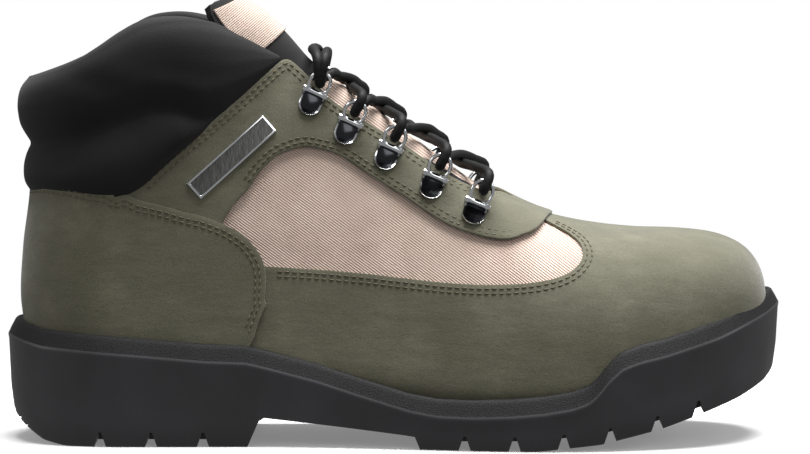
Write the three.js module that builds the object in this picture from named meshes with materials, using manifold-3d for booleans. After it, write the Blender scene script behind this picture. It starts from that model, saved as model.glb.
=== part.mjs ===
// A mid-cut laced field boot for the right foot, standing empty on its sole.
// Millimetres. +X points to the toe, +Y to the inner side of the foot and +Z up, with the floor at zero.
import * as THREE from "three";
import { mergeVertices } from "three/addons/utils/BufferGeometryUtils.js";
import Module from "manifold-3d";

const wasm = await Module();
wasm.setup();

// Driving dimensions.
const soleLength = 306;
const ballWidth = 108;
const collarHeight = 168;
const heelStack = 44;
const gap = 0.3;
const shellWall = 2.2;
const vampLeather = 1.2;
const eyestayRise = 2.6;
const counterRise = 2.9;
const insoleThickness = 5;
const tongueThickness = 4.5;
const laceThickness = 4.2;
const laceBow = 3.5;

// The last: one row for each section, from the toe tip back to the shaft's top.
// A section's plane holds the Y direction and runs from a low or back point to a top or front point.
// x is a share of soleLength, z of collarHeight and y of ballWidth. widest is how far up the section its full
// width lies, a round of 1 is an ellipse and less is squarer, and lean narrows the section towards its top.
const lastColumns = [
  "lowX", "lowZ", "topX", "topZ", "outerY", "innerY", "centreY", "widest", "lowRound", "topRound", "lean",
];
const lastRows = [
  [0.478, 0.31, 0.478, 0.317, 0.028, 0.12, 0.074, 0.45, 1.0, 1.0, 0.0],
  [0.476, 0.256, 0.476, 0.357, -0.056, 0.194, 0.074, 0.45, 0.9, 0.95, 0.0],
  [0.471, 0.226, 0.471, 0.393, -0.116, 0.255, 0.074, 0.42, 0.8, 0.9, 0.0],
  [0.458, 0.202, 0.458, 0.429, -0.181, 0.31, 0.074, 0.4, 0.7, 0.85, 0.0],
  [0.438, 0.182, 0.438, 0.454, -0.245, 0.356, 0.069, 0.36, 0.6, 0.82, 0.0],
  [0.408, 0.161, 0.408, 0.472, -0.31, 0.394, 0.06, 0.33, 0.5, 0.8, 0.01],
  [0.363, 0.137, 0.363, 0.481, -0.375, 0.426, 0.046, 0.3, 0.42, 0.79, 0.03],
  [0.307, 0.113, 0.306, 0.485, -0.421, 0.444, 0.037, 0.28, 0.38, 0.79, 0.06],
  [0.248, 0.098, 0.244, 0.499, -0.449, 0.44, 0.028, 0.27, 0.35, 0.79, 0.1],
  [0.183, 0.089, 0.188, 0.524, -0.454, 0.417, 0.023, 0.26, 0.35, 0.77, 0.15],
  [0.111, 0.086, 0.137, 0.568, -0.431, 0.375, 0.019, 0.25, 0.35, 0.72, 0.2],
  [0.033, 0.095, 0.088, 0.631, -0.389, 0.333, 0.014, 0.25, 0.35, 0.68, 0.24],
  [-0.059, 0.116, 0.036, 0.702, -0.347, 0.301, 0.009, 0.25, 0.35, 0.66, 0.26],
  [-0.163, 0.143, -0.016, 0.774, -0.315, 0.287, 0.005, 0.25, 0.35, 0.66, 0.26],
  [-0.278, 0.164, -0.056, 0.827, -0.301, 0.296, 0.0, 0.26, 0.35, 0.68, 0.24],
  [-0.386, 0.173, -0.085, 0.866, -0.296, 0.296, 0.0, 0.27, 0.45, 0.7, 0.22],
  [-0.453, 0.202, -0.105, 0.893, -0.296, 0.296, 0.0, 0.3, 0.75, 0.72, 0.2],
  [-0.473, 0.31, -0.121, 0.917, -0.301, 0.301, 0.0, 0.33, 0.95, 0.75, 0.18],
  [-0.471, 0.446, -0.137, 0.938, -0.306, 0.306, 0.0, 0.36, 1.0, 0.78, 0.15],
  [-0.462, 0.577, -0.154, 0.958, -0.306, 0.306, 0.0, 0.38, 1.0, 0.8, 0.12],
  [-0.461, 0.702, -0.173, 0.982, -0.31, 0.31, 0.0, 0.4, 1.0, 0.82, 0.1],
  [-0.461, 0.833, -0.196, 1.012, -0.315, 0.315, 0.0, 0.42, 1.0, 0.85, 0.08],
  [-0.454, 0.97, -0.219, 1.054, -0.315, 0.315, 0.0, 0.45, 1.0, 0.85, 0.06],
  [-0.448, 1.107, -0.245, 1.119, -0.315, 0.315, 0.0, 0.45, 1.0, 0.85, 0.05],
];

// Where the sections are sampled, in rows of the table: close together at the toe tip.
const lastStations = [
  0, 0.5, 1, 1.6, 2.3, 3, 4, 5, 6, 7, 8, 9, 10, 11, 12, 13, 14, 15, 15.6, 16.2, 17, 18, 19, 20, 21, 22, 23,
];
const ringPoints = 20;

// The sole's plan outline: one row from the heel's back to the toe. x is a share of soleLength and y of ballWidth.
const soleOutline = [
  { x: -0.5, outer: 0, inner: 0 },
  { x: -0.488, outer: -0.16, inner: 0.16 },
  { x: -0.45, outer: -0.285, inner: 0.285 },
  { x: -0.38, outer: -0.358, inner: 0.352 },
  { x: -0.28, outer: -0.366, inner: 0.358 },
  { x: -0.163, outer: -0.362, inner: 0.34 },
  { x: -0.059, outer: -0.39, inner: 0.345 },
  { x: 0.033, outer: -0.438, inner: 0.385 },
  { x: 0.111, outer: -0.481, inner: 0.43 },
  { x: 0.183, outer: -0.5, inner: 0.477 },
  { x: 0.248, outer: -0.496, inner: 0.497 },
  { x: 0.307, outer: -0.47, inner: 0.497 },
  { x: 0.363, outer: -0.424, inner: 0.475 },
  { x: 0.412, outer: -0.354, inner: 0.435 },
  { x: 0.452, outer: -0.255, inner: 0.37 },
  { x: 0.484, outer: -0.11, inner: 0.26 },
  { x: 0.5, outer: 0.08, inner: 0.08 },
];
const outlineSplits = 2;

// The sole's lines along its length: x is a share of soleLength and z of heelStack.
const treadLine = [
  [-0.5, 0.25], [-0.485, 0.13], [-0.455, 0.03], [-0.42, 0], [-0.1, 0], [0.18, 0], [0.26, 0.06],
  [0.335, 0.18], [0.38, 0.28], [0.44, 0.42], [0.477, 0.53], [0.5, 0.64],
];
const soleTopLine = [
  [-0.5, 1.1], [-0.45, 1.03], [-0.38, 0.993], [-0.325, 0.965], [-0.242, 0.914], [-0.186, 0.898], [-0.147, 0.83],
  [-0.098, 0.743], [-0.048, 0.632], [0.018, 0.498], [0.055, 0.454], [0.1, 0.448], [0.152, 0.464], [0.19, 0.49],
  [0.224, 0.53], [0.245, 0.58], [0.258, 0.66], [0.27, 0.77], [0.288, 0.88], [0.31, 0.935], [0.343, 0.985],
  [0.413, 1.125], [0.448, 1.22], [0.479, 1.3], [0.5, 1.36],
];

// The sole's side from the tread's edge up to its lip: height in mm above the tread or below the top line, and inset.
const sideSteps = [
  { from: "tread", height: 0, inset: 2.6 },
  { from: "tread", height: 5, inset: 0.9 },
  { from: "top", height: -7, inset: 0 },
  { from: "top", height: -1.3, inset: 3 },
  { from: "top", height: 0, inset: 4.3 },
];

// Side outlines of the upper's pieces: x is a share of soleLength and z of collarHeight.
const clothLowEdge = [
  [-0.2, 0.42], [-0.161, 0.415], [-0.043, 0.387], [0.1, 0.368], [0.188, 0.379], [0.237, 0.408],
  [0.247, 0.445], [0.23, 0.482], [0.194, 0.508], [0.15, 0.53],
];
const counterTopEdge = [
  [-0.53, 0.55], [-0.475, 0.571], [-0.452, 0.599], [-0.431, 0.605], [-0.399, 0.598], [-0.351, 0.586],
  [-0.292, 0.561], [-0.227, 0.533], [-0.199, 0.51], [-0.178, 0.474], [-0.165, 0.436], [-0.163, 0.408],
  [-0.167, 0.354], [-0.184, 0.252],
];
const eyestayBackEdge = [
  [-0.347, 0.588], [-0.314, 0.62], [-0.279, 0.682], [-0.238, 0.733], [-0.197, 0.798], [-0.157, 0.872], [-0.135, 0.905],
];
const eyestayLowEdge = [
  [-0.215, 0.52], [-0.187, 0.604], [-0.163, 0.636], [-0.141, 0.676], [-0.117, 0.684], [-0.1, 0.686],
  [-0.072, 0.67], [-0.042, 0.64], [0.015, 0.58], [0.073, 0.523], [0.116, 0.49], [0.145, 0.482], [0.168, 0.484],
  [0.188, 0.507], [0.199, 0.521],
];
const collarTopEdge = [
  [-0.54, 0.81], [-0.48, 0.832], [-0.442, 0.857], [-0.402, 0.89], [-0.358, 0.944], [-0.32, 0.988],
  [-0.279, 0.998], [-0.239, 0.991], [-0.222, 0.974], [-0.184, 0.931], [-0.15, 0.895],
];

// The padded collar: its section from the lower seam over the lip to the lining. rise is how far the padding
// stands off the last and up is the share of the way from the lower seam to the top edge.
const collarProfile = [
  { up: 0.0, rise: 2.8 }, { up: 0.12, rise: 5.0 }, { up: 0.26, rise: 5.4 }, { up: 0.42, rise: 3.0 },
  { up: 0.6, rise: 6.8 }, { up: 0.8, rise: 7.6 }, { up: 0.94, rise: 5.6 }, { up: 1.0, rise: 1.6 },
  { up: 0.93, rise: -2.6 }, { up: 0.6, rise: -3.6 }, { up: 0.25, rise: -3.4 }, { up: 0.0, rise: -2.4 },
];
const collarSteps = 36;

// The throat's line in the side view, its half widths at the low and top end, and how deep it is cut.
const throatLow = { x: 0.158, z: 0.555 };
const throatTop = { x: -0.135, z: 0.945 };
const throatLowHalf = 9.5;
const throatTopHalf = 18;
const throatDepth = 22;

// The speed rings: bar centres in the side view, and the hardware's own sizes.
const ringBars = [
  [-0.104, 0.807], [-0.0585, 0.739], [-0.0075, 0.679], [0.0493, 0.6095], [0.1026, 0.5464],
];
const plateWidth = 9.6;
const plateLength = 9.4;
const plateThickness = 0.9;
const barRadius = 1.5;
const ringRadius = 5.1;
const ringWire = 0.85;
const ringTilt = THREE.MathUtils.degToRad(50);
const ringTurn = THREE.MathUtils.degToRad(11);

// Where the lace crosses over the tongue, from the top crossing to the lowest, in the side view.
const laceCrossings = [
  [-0.095, 0.895], [-0.055, 0.83], [-0.012, 0.779], [0.043, 0.72], [0.089, 0.654], [0.12, 0.61],
];

// The blank name plate on the outer eyestay.
const badge = { x: -0.207, z: 0.675, length: 39, width: 8.4, thickness: 1.2, slope: 41.5 };

// The tread: each field's notch places as shares of soleLength and its long channels' place as a share of ballWidth.
const treadFields = [
  { notches: [-0.374, -0.309, -0.243], channel: 0.14 },
  { notches: [0.089, 0.152, 0.214, 0.273, 0.333, 0.386], channel: 0.2 },
];
const notchWidth = 5;
const notchHeight = 5.8;
const channelWidth = 4;
const waistRoof = [[-0.188, -0.02], [0.034, -0.02], [0.026, 0.115], [-0.17, 0.265]];

const xOf = (share) => share * soleLength;
const zOf = (share) => share * collarHeight;
const yOf = (share) => share * ballWidth;
const sidePoints = (shares) => shares.map(([x, z]) => new THREE.Vector2(xOf(x), zOf(z)));

// A smooth value through a list at even steps.
function smoothValue(values, at) {
  const last = values.length - 1;
  const i = Math.min(Math.max(Math.floor(at), 0), last - 1);
  const f = at - i;
  const p1 = values[i];
  const p2 = values[i + 1];
  const m1 = i > 0 ? (p2 - values[i - 1]) / 2 : p2 - p1;
  const m2 = i + 2 <= last ? (values[i + 2] - p1) / 2 : p2 - p1;
  const f2 = f * f;
  const f3 = f2 * f;
  return (2 * f3 - 3 * f2 + 1) * p1 + (f3 - 2 * f2 + f) * m1 + (3 * f2 - 2 * f3) * p2 + (f3 - f2) * m2;
}

const lastValues = Object.fromEntries(lastColumns.map((name, i) => [name, lastRows.map((row) => row[i])]));

// The last's section at a station, in millimetres.
function sectionAt(station) {
  const at = (name) => smoothValue(lastValues[name], station);
  return {
    low: new THREE.Vector2(xOf(at("lowX")), zOf(at("lowZ"))),
    top: new THREE.Vector2(xOf(at("topX")), zOf(at("topZ"))),
    outer: yOf(at("outerY")),
    inner: yOf(at("innerY")),
    centre: yOf(at("centreY")),
    widest: at("widest"),
    lowRound: at("lowRound"),
    topRound: at("topRound"),
    lean: at("lean"),
  };
}

// A point of the last. turn runs from -90 degrees at the low point to 90 at the top, and side is -1 on the outer side.
function lastPoint(station, turn, side) {
  const s = sectionAt(station);
  const wide = Math.max(Math.cos(turn), 0);
  const high = Math.abs(Math.sin(turn));
  const round = turn < 0 ? s.lowRound : s.topRound;
  const up = turn < 0 ? s.widest * (1 - high ** round) : s.widest + (1 - s.widest) * high ** round;
  const edge = side < 0 ? s.outer : s.inner;
  const y = s.centre + (edge - s.centre) * wide ** round * (1 - s.lean * up);
  const flat = s.low.clone().lerp(s.top, up);
  return new THREE.Vector3(flat.x, y, flat.y);
}

// The outward direction of the last at the same place.
function lastNormal(station, turn, side) {
  const step = 0.02;
  const half = Math.PI / 2;
  const t = THREE.MathUtils.clamp(turn, -half + step, half - step);
  const along = lastPoint(Math.min(station + step, lastRows.length - 1), t, side)
    .sub(lastPoint(Math.max(station - step, 0), t, side));
  const around = lastPoint(station, t + step, side).sub(lastPoint(station, t - step, side));
  const normal = side < 0 ? around.cross(along) : along.cross(around);
  return normal.normalize();
}

function offsetPoint(station, turn, side, rise) {
  return lastPoint(station, turn, side).addScaledVector(lastNormal(station, turn, side), rise);
}

// The place on the last that lies at a point of the side view.
function placeAt(x, z) {
  const point = new THREE.Vector2(x, z);
  const across = (station) => {
    const s = sectionAt(station);
    return s.top.clone().sub(s.low).cross(point.clone().sub(s.low));
  };
  let low = 0.5;
  let high = lastRows.length - 1;
  for (let i = 0; i < 40; i++) {
    const mid = (low + high) / 2;
    if (across(mid) > 0) low = mid;
    else high = mid;
  }
  const station = (low + high) / 2;
  const s = sectionAt(station);
  const chord = s.top.clone().sub(s.low);
  const up = THREE.MathUtils.clamp(point.sub(s.low).dot(chord) / chord.lengthSq(), 0.001, 0.999);
  const turn = up < s.widest
    ? -Math.asin((1 - up / s.widest) ** (1 / s.lowRound))
    : Math.asin(((up - s.widest) / (1 - s.widest)) ** (1 / s.topRound));
  return { station, turn };
}

// Meshes and solids.
function solidOf(geometry) {
  const bare = geometry.index ? geometry.toNonIndexed() : geometry.clone();
  bare.deleteAttribute("normal");
  bare.deleteAttribute("uv");
  const merged = mergeVertices(bare, 1e-4);
  const mesh = new wasm.Mesh({
    numProp: 3,
    vertProperties: merged.attributes.position.array,
    triVerts: new Uint32Array(merged.index.array),
  });
  return new wasm.Manifold(mesh);
}

function geometryOf(solid) {
  const mesh = solid.getMesh();
  const positions = new Float32Array(mesh.numVert * 3);
  for (let i = 0; i < mesh.numVert; i++) {
    positions.set(mesh.vertProperties.subarray(i * mesh.numProp, i * mesh.numProp + 3), i * 3);
  }
  const geometry = new THREE.BufferGeometry();
  geometry.setAttribute("position", new THREE.BufferAttribute(positions, 3));
  geometry.setIndex(new THREE.BufferAttribute(new Uint32Array(mesh.triVerts), 1));
  geometry.computeVertexNormals();
  return geometry;
}

// A closed solid through rings of as many points. The end rings are closed by rungs from side to side.
function loftSolid(rings) {
  const count = rings[0].length;
  const points = rings.flat();
  const faces = [];
  const cover = (start, flip) => {
    for (let i = 0; i < count / 2; i++) {
      const a = start + i;
      const b = start + i + 1;
      const c = start + ((count - i - 1) % count);
      const d = start + ((count - i) % count);
      const rung = [[a, b, c], [a, c, d]].filter((face) => new Set(face).size === 3);
      faces.push(...rung.map((face) => (flip ? [...face].reverse() : face)));
    }
  };
  for (let r = 0; r + 1 < rings.length; r++) {
    for (let i = 0; i < count; i++) {
      const a = r * count + i;
      const b = r * count + ((i + 1) % count);
      faces.push([a, b, b + count], [a, b + count, a + count]);
    }
  }
  cover(0, true);
  cover((rings.length - 1) * count, false);
  const geometry = new THREE.BufferGeometry();
  const positions = new Float32Array(points.flatMap((p) => [p.x, p.y, p.z]));
  geometry.setAttribute("position", new THREE.BufferAttribute(positions, 3));
  geometry.setIndex(faces.flat());
  const solid = solidOf(geometry);
  if (solid.volume() > 0) return solid;
  geometry.setIndex(faces.map((face) => [...face].reverse()).flat());
  return solidOf(geometry);
}

// The filled last, grown or shrunk by rise.
function lastForm(rise, stations = lastStations) {
  const half = ringPoints / 2;
  const rings = stations.map((station) => {
    const ring = [];
    for (let i = 0; i < ringPoints; i++) {
      const side = i < half ? -1 : 1;
      const share = side < 0 ? i / half : 2 - i / half;
      ring.push(offsetPoint(station, (share - 0.5) * Math.PI, side, rise));
    }
    return ring;
  });
  return loftSolid(rings);
}

// A prism of a side-view outline, right through the boot's width or only on one side.
function sidePrism(points, fromY = -ballWidth, toY = ballWidth) {
  const geometry = new THREE.ExtrudeGeometry(new THREE.Shape(points), { depth: toY - fromY, bevelEnabled: false });
  geometry.rotateX(Math.PI / 2);
  geometry.translate(0, toY, 0);
  return solidOf(geometry);
}

// A smooth line through side-view points, as a list of points.
function smoothLine(points, steps) {
  return new THREE.SplineCurve(points).getPoints(steps);
}

const heightOn = (line, x) => {
  const above = line.findIndex((p) => p.x > x);
  const i = above < 0 ? line.length - 1 : Math.max(above, 1);
  const a = line[i - 1];
  const b = line[i];
  return a.y + ((b.y - a.y) * (x - a.x)) / (b.x - a.x);
};
const treadPoints = treadLine.map(([x, z]) => new THREE.Vector2(xOf(x), z * heelStack));
const topPoints = soleTopLine.map(([x, z]) => new THREE.Vector2(xOf(x), z * heelStack));
const treadHeight = (x) => heightOn(treadPoints, THREE.MathUtils.clamp(x, xOf(-0.5), xOf(0.5)));
const topHeight = (x) => heightOn(topPoints, THREE.MathUtils.clamp(x, xOf(-0.5), xOf(0.5)));

// The sole: a cup with a lugged tread, cut out by the last.
const outline = (() => {
  const innerRows = soleOutline.slice(1, -1).reverse();
  const points = [
    ...soleOutline.map((row) => new THREE.Vector3(xOf(row.x), yOf(row.outer), 0)),
    ...innerRows.map((row) => new THREE.Vector3(xOf(row.x), yOf(row.inner), 0)),
  ];
  return new THREE.CatmullRomCurve3(points, true).getPoints(points.length * outlineSplits).slice(0, -1);
})();

function insetOutline(inset) {
  const count = outline.length;
  return outline.map((p, i) => {
    const along = outline[(i + 1) % count].clone().sub(outline[(i + count - 1) % count]).normalize();
    return new THREE.Vector3(p.x - along.y * inset, p.y + along.x * inset, 0);
  });
}

function soleBlock() {
  const rings = sideSteps.map((step) =>
    insetOutline(step.inset).map((p) =>
      p.setZ((step.from === "tread" ? treadHeight(p.x) : topHeight(p.x)) + step.height)));
  return loftSolid(rings);
}

// A bar that follows the tread's line, from x to x and y to y, and cuts into the tread by a depth.
function treadBar(fromX, toX, fromY, toY, depth) {
  const steps = 7;
  const rings = [];
  for (let i = 0; i <= steps; i++) {
    const x = THREE.MathUtils.lerp(fromX, toX, i / steps);
    const z = treadHeight(x);
    rings.push([
      new THREE.Vector3(x, fromY, z - 3), new THREE.Vector3(x, toY, z - 3),
      new THREE.Vector3(x, toY, z + depth), new THREE.Vector3(x, fromY, z + depth),
    ]);
  }
  return loftSolid(rings);
}

// A V notch in a side wall that runs inwards between two lugs as far as the long channel.
function notchSolid(x, side, channelY) {
  const z = treadHeight(x);
  const half = notchWidth / 2;
  const shape = [
    new THREE.Vector2(x - half * 1.3, z - 2), new THREE.Vector2(x + half * 1.3, z - 2),
    new THREE.Vector2(x + half * 0.25, z + notchHeight), new THREE.Vector2(x - half * 0.25, z + notchHeight),
  ];
  const ends = [side * ballWidth, side * channelY].sort((a, b) => a - b);
  return sidePrism(shape, ends[0], ends[1]);
}

function treadCuts() {
  return treadFields.flatMap((field) => {
    const places = field.notches.map(xOf);
    const channelY = yOf(field.channel);
    const half = channelWidth / 2;
    const ends = [places[0] - notchWidth, places[places.length - 1] + notchWidth / 2];
    const notches = places.flatMap((x) => [notchSolid(x, -1, channelY), notchSolid(x, 1, channelY)]);
    const channels = [-1, 1].map((side) => {
      const y = side * channelY;
      return treadBar(ends[0], ends[1], y - half, y + half, notchHeight * 0.9);
    });
    const crossings = places.slice(1).map((x, i) => {
      const middle = (x + places[i]) / 2;
      return treadBar(middle - half, middle + half, -channelY, channelY, notchHeight * 0.8);
    });
    return [...notches, ...channels, ...crossings];
  });
}

function soleSolid() {
  const waist = sidePrism(waistRoof.map(([x, z]) => new THREE.Vector2(xOf(x), z * heelStack)));
  return [lastForm(vampLeather + gap), waist, ...treadCuts()]
    .reduce((sole, cutter) => sole.subtract(cutter), soleBlock());
}

// Cutters shared by the upper's pieces.
const collarSeam = [
  ...smoothLine(sidePoints(counterTopEdge.slice(0, 6)), 10),
  ...smoothLine(sidePoints(eyestayBackEdge), 12),
];
const farAbove = zOf(1.4);

function throatCutter() {
  const low = new THREE.Vector3(xOf(throatLow.x), 0, zOf(throatLow.z));
  const top = new THREE.Vector3(xOf(throatTop.x), 0, zOf(throatTop.z));
  const forward = low.clone().sub(top).normalize();
  const across = new THREE.Vector3(0, 1, 0);
  const outward = forward.clone().cross(across);
  const length = low.distanceTo(top) + 40;
  const topHalf = throatTopHalf + ((throatTopHalf - throatLowHalf) * 40) / length;
  const shape = new THREE.Shape();
  shape.moveTo(-length, -topHalf);
  shape.lineTo(-throatLowHalf, -throatLowHalf);
  shape.quadraticCurveTo(0, -throatLowHalf * 0.8, 0, 0);
  shape.quadraticCurveTo(0, throatLowHalf * 0.8, -throatLowHalf, throatLowHalf);
  shape.lineTo(-length, topHalf);
  const geometry = new THREE.ExtrudeGeometry(shape, { depth: throatDepth * 3, bevelEnabled: false, curveSegments: 4 });
  geometry.translate(0, 0, -throatDepth);
  const basis = new THREE.Matrix4().makeBasis(forward, across, outward).setPosition(low);
  return solidOf(geometry.applyMatrix4(basis));
}

// Everything above the seam where the leather ends and the padded collar begins.
function aboveSeam(shift) {
  const line = collarSeam.map((p) => new THREE.Vector2(p.x, p.y + shift));
  const end = line[line.length - 1];
  return sidePrism([
    ...line, new THREE.Vector2(end.x + 25, end.y + 40), new THREE.Vector2(end.x + 25, farAbove),
    new THREE.Vector2(xOf(-0.7), farAbove), new THREE.Vector2(xOf(-0.7), line[0].y),
  ]);
}

const belowSoleTop = (shift) => sidePrism([
  new THREE.Vector2(xOf(-0.6), -10), new THREE.Vector2(xOf(0.6), -10), new THREE.Vector2(xOf(0.6), topHeight(xOf(0.5))),
  ...[...topPoints].reverse().map((p) => new THREE.Vector2(p.x, p.y + shift)),
  new THREE.Vector2(xOf(-0.6), topHeight(xOf(-0.5))),
]);

// The opening under the foot leaves a lasting margin all round.
function underfootCutter() {
  const margin = 15;
  const low = insetOutline(margin).map((p) => p.clone().setZ(-5));
  const high = insetOutline(margin).map((p) => p.clone().setZ(lowLineHeight(p.x) + shellWall + 3));
  return loftSolid([low, high]);
}

const lowLine = lastRows.slice(0, 17).map((row) => new THREE.Vector2(xOf(row[0]), zOf(row[1]))).reverse();
const lowLineHeight = (x) => heightOn(lowLine, THREE.MathUtils.clamp(x, lowLine[0].x, lowLine[lowLine.length - 1].x));

// The leather of the toe, vamp and heel stands a step above the cloth of the quarters.
function clothWindow() {
  const edge = smoothLine(sidePoints(clothLowEdge), 20);
  return sidePrism([
    ...edge, new THREE.Vector2(xOf(0.15), farAbove), new THREE.Vector2(xOf(-0.7), farAbove),
    new THREE.Vector2(xOf(-0.7), zOf(0.63)), new THREE.Vector2(xOf(-0.2), zOf(0.5)),
  ]);
}

const throat = throatCutter();
const plainForm = lastForm(0);
const vampForm = lastForm(vampLeather);

function upperSolid() {
  const leather = vampForm.subtract(clothWindow());
  return plainForm.add(leather)
    .subtract(lastForm(-shellWall))
    .subtract(underfootCutter())
    .subtract(throat)
    .subtract(aboveSeam(0));
}

function eyestaySolid() {
  const lowEdge = smoothLine(sidePoints(eyestayLowEdge), 22);
  const backEdge = smoothLine(sidePoints(eyestayBackEdge), 12);
  const end = backEdge[backEdge.length - 1];
  const area = sidePrism([
    ...lowEdge, new THREE.Vector2(xOf(0.205), farAbove), new THREE.Vector2(end.x + 25, farAbove),
    new THREE.Vector2(end.x + 25, end.y + 40), ...backEdge.reverse(),
  ]);
  const under = lastForm(gap).add(lastForm(vampLeather + gap).subtract(clothWindow()));
  return lastForm(eyestayRise).subtract(under).intersect(area).subtract(throat).subtract(counterArea(gap))
    .subtract(aboveSeam(0));
}

function counterArea(grow) {
  const edge = smoothLine(sidePoints(counterTopEdge), 20)
    .map((p) => new THREE.Vector2(p.x + grow, p.y + grow));
  return sidePrism([...edge, new THREE.Vector2(xOf(-0.7), zOf(0.1)), new THREE.Vector2(xOf(-0.7), edge[0].y)]);
}

function counterSolid() {
  return lastForm(counterRise).subtract(lastForm(vampLeather + gap)).intersect(counterArea(0))
    .subtract(belowSoleTop(gap));
}

// The padded collar, swept from the outer front end round the heel to the inner one.
function collarSolid() {
  const seamBack = { x: xOf(-0.455), z: zOf(0.597) };
  const seamFront = { x: xOf(-0.15), z: zOf(0.885) };
  const lowEdge = new THREE.SplineCurve([
    new THREE.Vector2(seamBack.x, seamBack.z), ...sidePoints(counterTopEdge.slice(3, 6)),
    ...sidePoints(eyestayBackEdge.slice(1, 5)), new THREE.Vector2(seamFront.x, seamFront.z),
  ]);
  const topEdge = new THREE.SplineCurve([
    new THREE.Vector2(xOf(-0.457), zOf(0.842)), ...sidePoints(collarTopEdge.slice(2, 10)),
    new THREE.Vector2(xOf(-0.158), zOf(0.905)),
  ]);
  const clearance = gap + 0.5;
  const place = (share, side, step) => {
    const low = lowEdge.getPointAt(share);
    const high = topEdge.getPointAt(share);
    const up = low.add(new THREE.Vector2(-clearance * 0.6, clearance)).lerp(high, step.up);
    const { station, turn } = placeAt(up.x, up.y);
    const thin = 1 - 0.75 * THREE.MathUtils.smoothstep(share, 0.5, 1);
    return offsetPoint(station, turn, side, step.rise * thin);
  };
  // At the back of the heel both sides meet on the middle line.
  const backPlace = (step) => {
    const z = THREE.MathUtils.lerp(seamBack.z + clearance, zOf(0.842), step.up);
    const { station } = placeAt(backX(z), z);
    return offsetPoint(station, -Math.PI / 2, -1, step.rise).setY(0);
  };
  const rings = [];
  for (let i = 0; i <= collarSteps; i++) {
    const around = (2 * i) / collarSteps - 1;
    const side = around < 0 ? -1 : 1;
    const share = Math.abs(around) ** 1.25;
    rings.push(collarProfile.map((step) => (around === 0 ? backPlace(step) : place(share, side, step))));
  }
  return loftSolid(rings);
}

function backX(z) {
  let best = 0;
  let distance = Infinity;
  for (let station = 16; station < lastRows.length - 1; station += 0.05) {
    const s = sectionAt(station);
    if (Math.abs(s.low.y - z) < distance) {
      distance = Math.abs(s.low.y - z);
      best = s.low.x;
    }
  }
  return best;
}

// The tongue lies under the throat's edges and stands above the eyestay.
const tongueStations = [9.2, 9.8, 10.6, 11.5, 12.5, 13.5, 14.6, 16, 17.6, 19, 20.3, 21.4];
const tongueHalf = [10, 15, 19, 22, 23, 24, 24, 23, 22, 21, 20, 17];
const tongueAcross = 8;
const pullTab = { from: 18.6, to: 21.3, half: 18, thickness: 1.4, steps: 5 };

function tongueRing(station, half, rise, thickness) {
  const ring = [];
  const level = (side, y, depth) => {
    let low = 0;
    let high = Math.PI / 2;
    for (let i = 0; i < 30; i++) {
      const mid = (low + high) / 2;
      if (Math.abs(lastPoint(station, mid, side).y - sectionAt(station).centre) > Math.abs(y)) low = mid;
      else high = mid;
    }
    return offsetPoint(station, low, side, depth);
  };
  for (let i = 0; i <= tongueAcross; i++) {
    const y = half * ((2 * i) / tongueAcross - 1);
    ring.push(level(y < 0 ? -1 : 1, y, rise));
  }
  for (let i = tongueAcross; i >= 0; i--) {
    const y = half * ((2 * i) / tongueAcross - 1);
    const edge = i === 0 || i === tongueAcross ? 0.45 : 1;
    ring.push(level(y < 0 ? -1 : 1, y * 0.94, rise - thickness * edge));
  }
  return ring;
}

function tongueSolid() {
  const rise = 1 - shellWall;
  const rings = tongueStations.map((station, i) => tongueRing(station, tongueHalf[i], rise, tongueThickness + 1));
  return loftSolid(rings).intersect(lastForm(-shellWall - gap));
}

// A webbing band lies over the tongue's top end.
function pullTabSolid() {
  const rings = [];
  for (let i = 0; i <= pullTab.steps; i++) {
    const station = THREE.MathUtils.lerp(pullTab.from, pullTab.to, i / pullTab.steps);
    rings.push(tongueRing(station, pullTab.half, pullTab.thickness - shellWall, pullTab.thickness));
  }
  return loftSolid(rings);
}

function insoleSolid() {
  const lift = shellWall + gap;
  const line = lowLine.map((p) => new THREE.Vector2(p.x, p.y + lift + insoleThickness));
  const under = sidePrism([
    new THREE.Vector2(xOf(-0.6), -20), new THREE.Vector2(xOf(0.6), -20),
    new THREE.Vector2(xOf(0.6), line[line.length - 1].y), ...line.reverse(),
    new THREE.Vector2(xOf(-0.6), line[line.length - 1].y),
  ]);
  return lastForm(-lift).intersect(under);
}

// A frame on the last's surface: forward along the throat, up towards the ridge and out.
function frameAt(x, z, side, rise) {
  const { station, turn } = placeAt(x, z);
  const out = lastNormal(station, turn, side);
  const point = lastPoint(station, turn, side).addScaledVector(out, rise);
  const forward = new THREE.Vector3(xOf(throatLow.x - throatTop.x), 0, zOf(throatLow.z - throatTop.z));
  forward.addScaledVector(out, -forward.dot(out)).normalize().applyAxisAngle(out, side * -ringTurn);
  const up = out.clone().cross(forward);
  if (up.z < 0) up.negate();
  return { point, forward, up, out };
}

function frameMatrix({ point, forward, up, out }) {
  const across = up.clone().cross(out);
  if (across.dot(forward) < 0) across.negate();
  return new THREE.Matrix4().makeBasis(up.clone().cross(out), up, out).setPosition(point);
}

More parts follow.
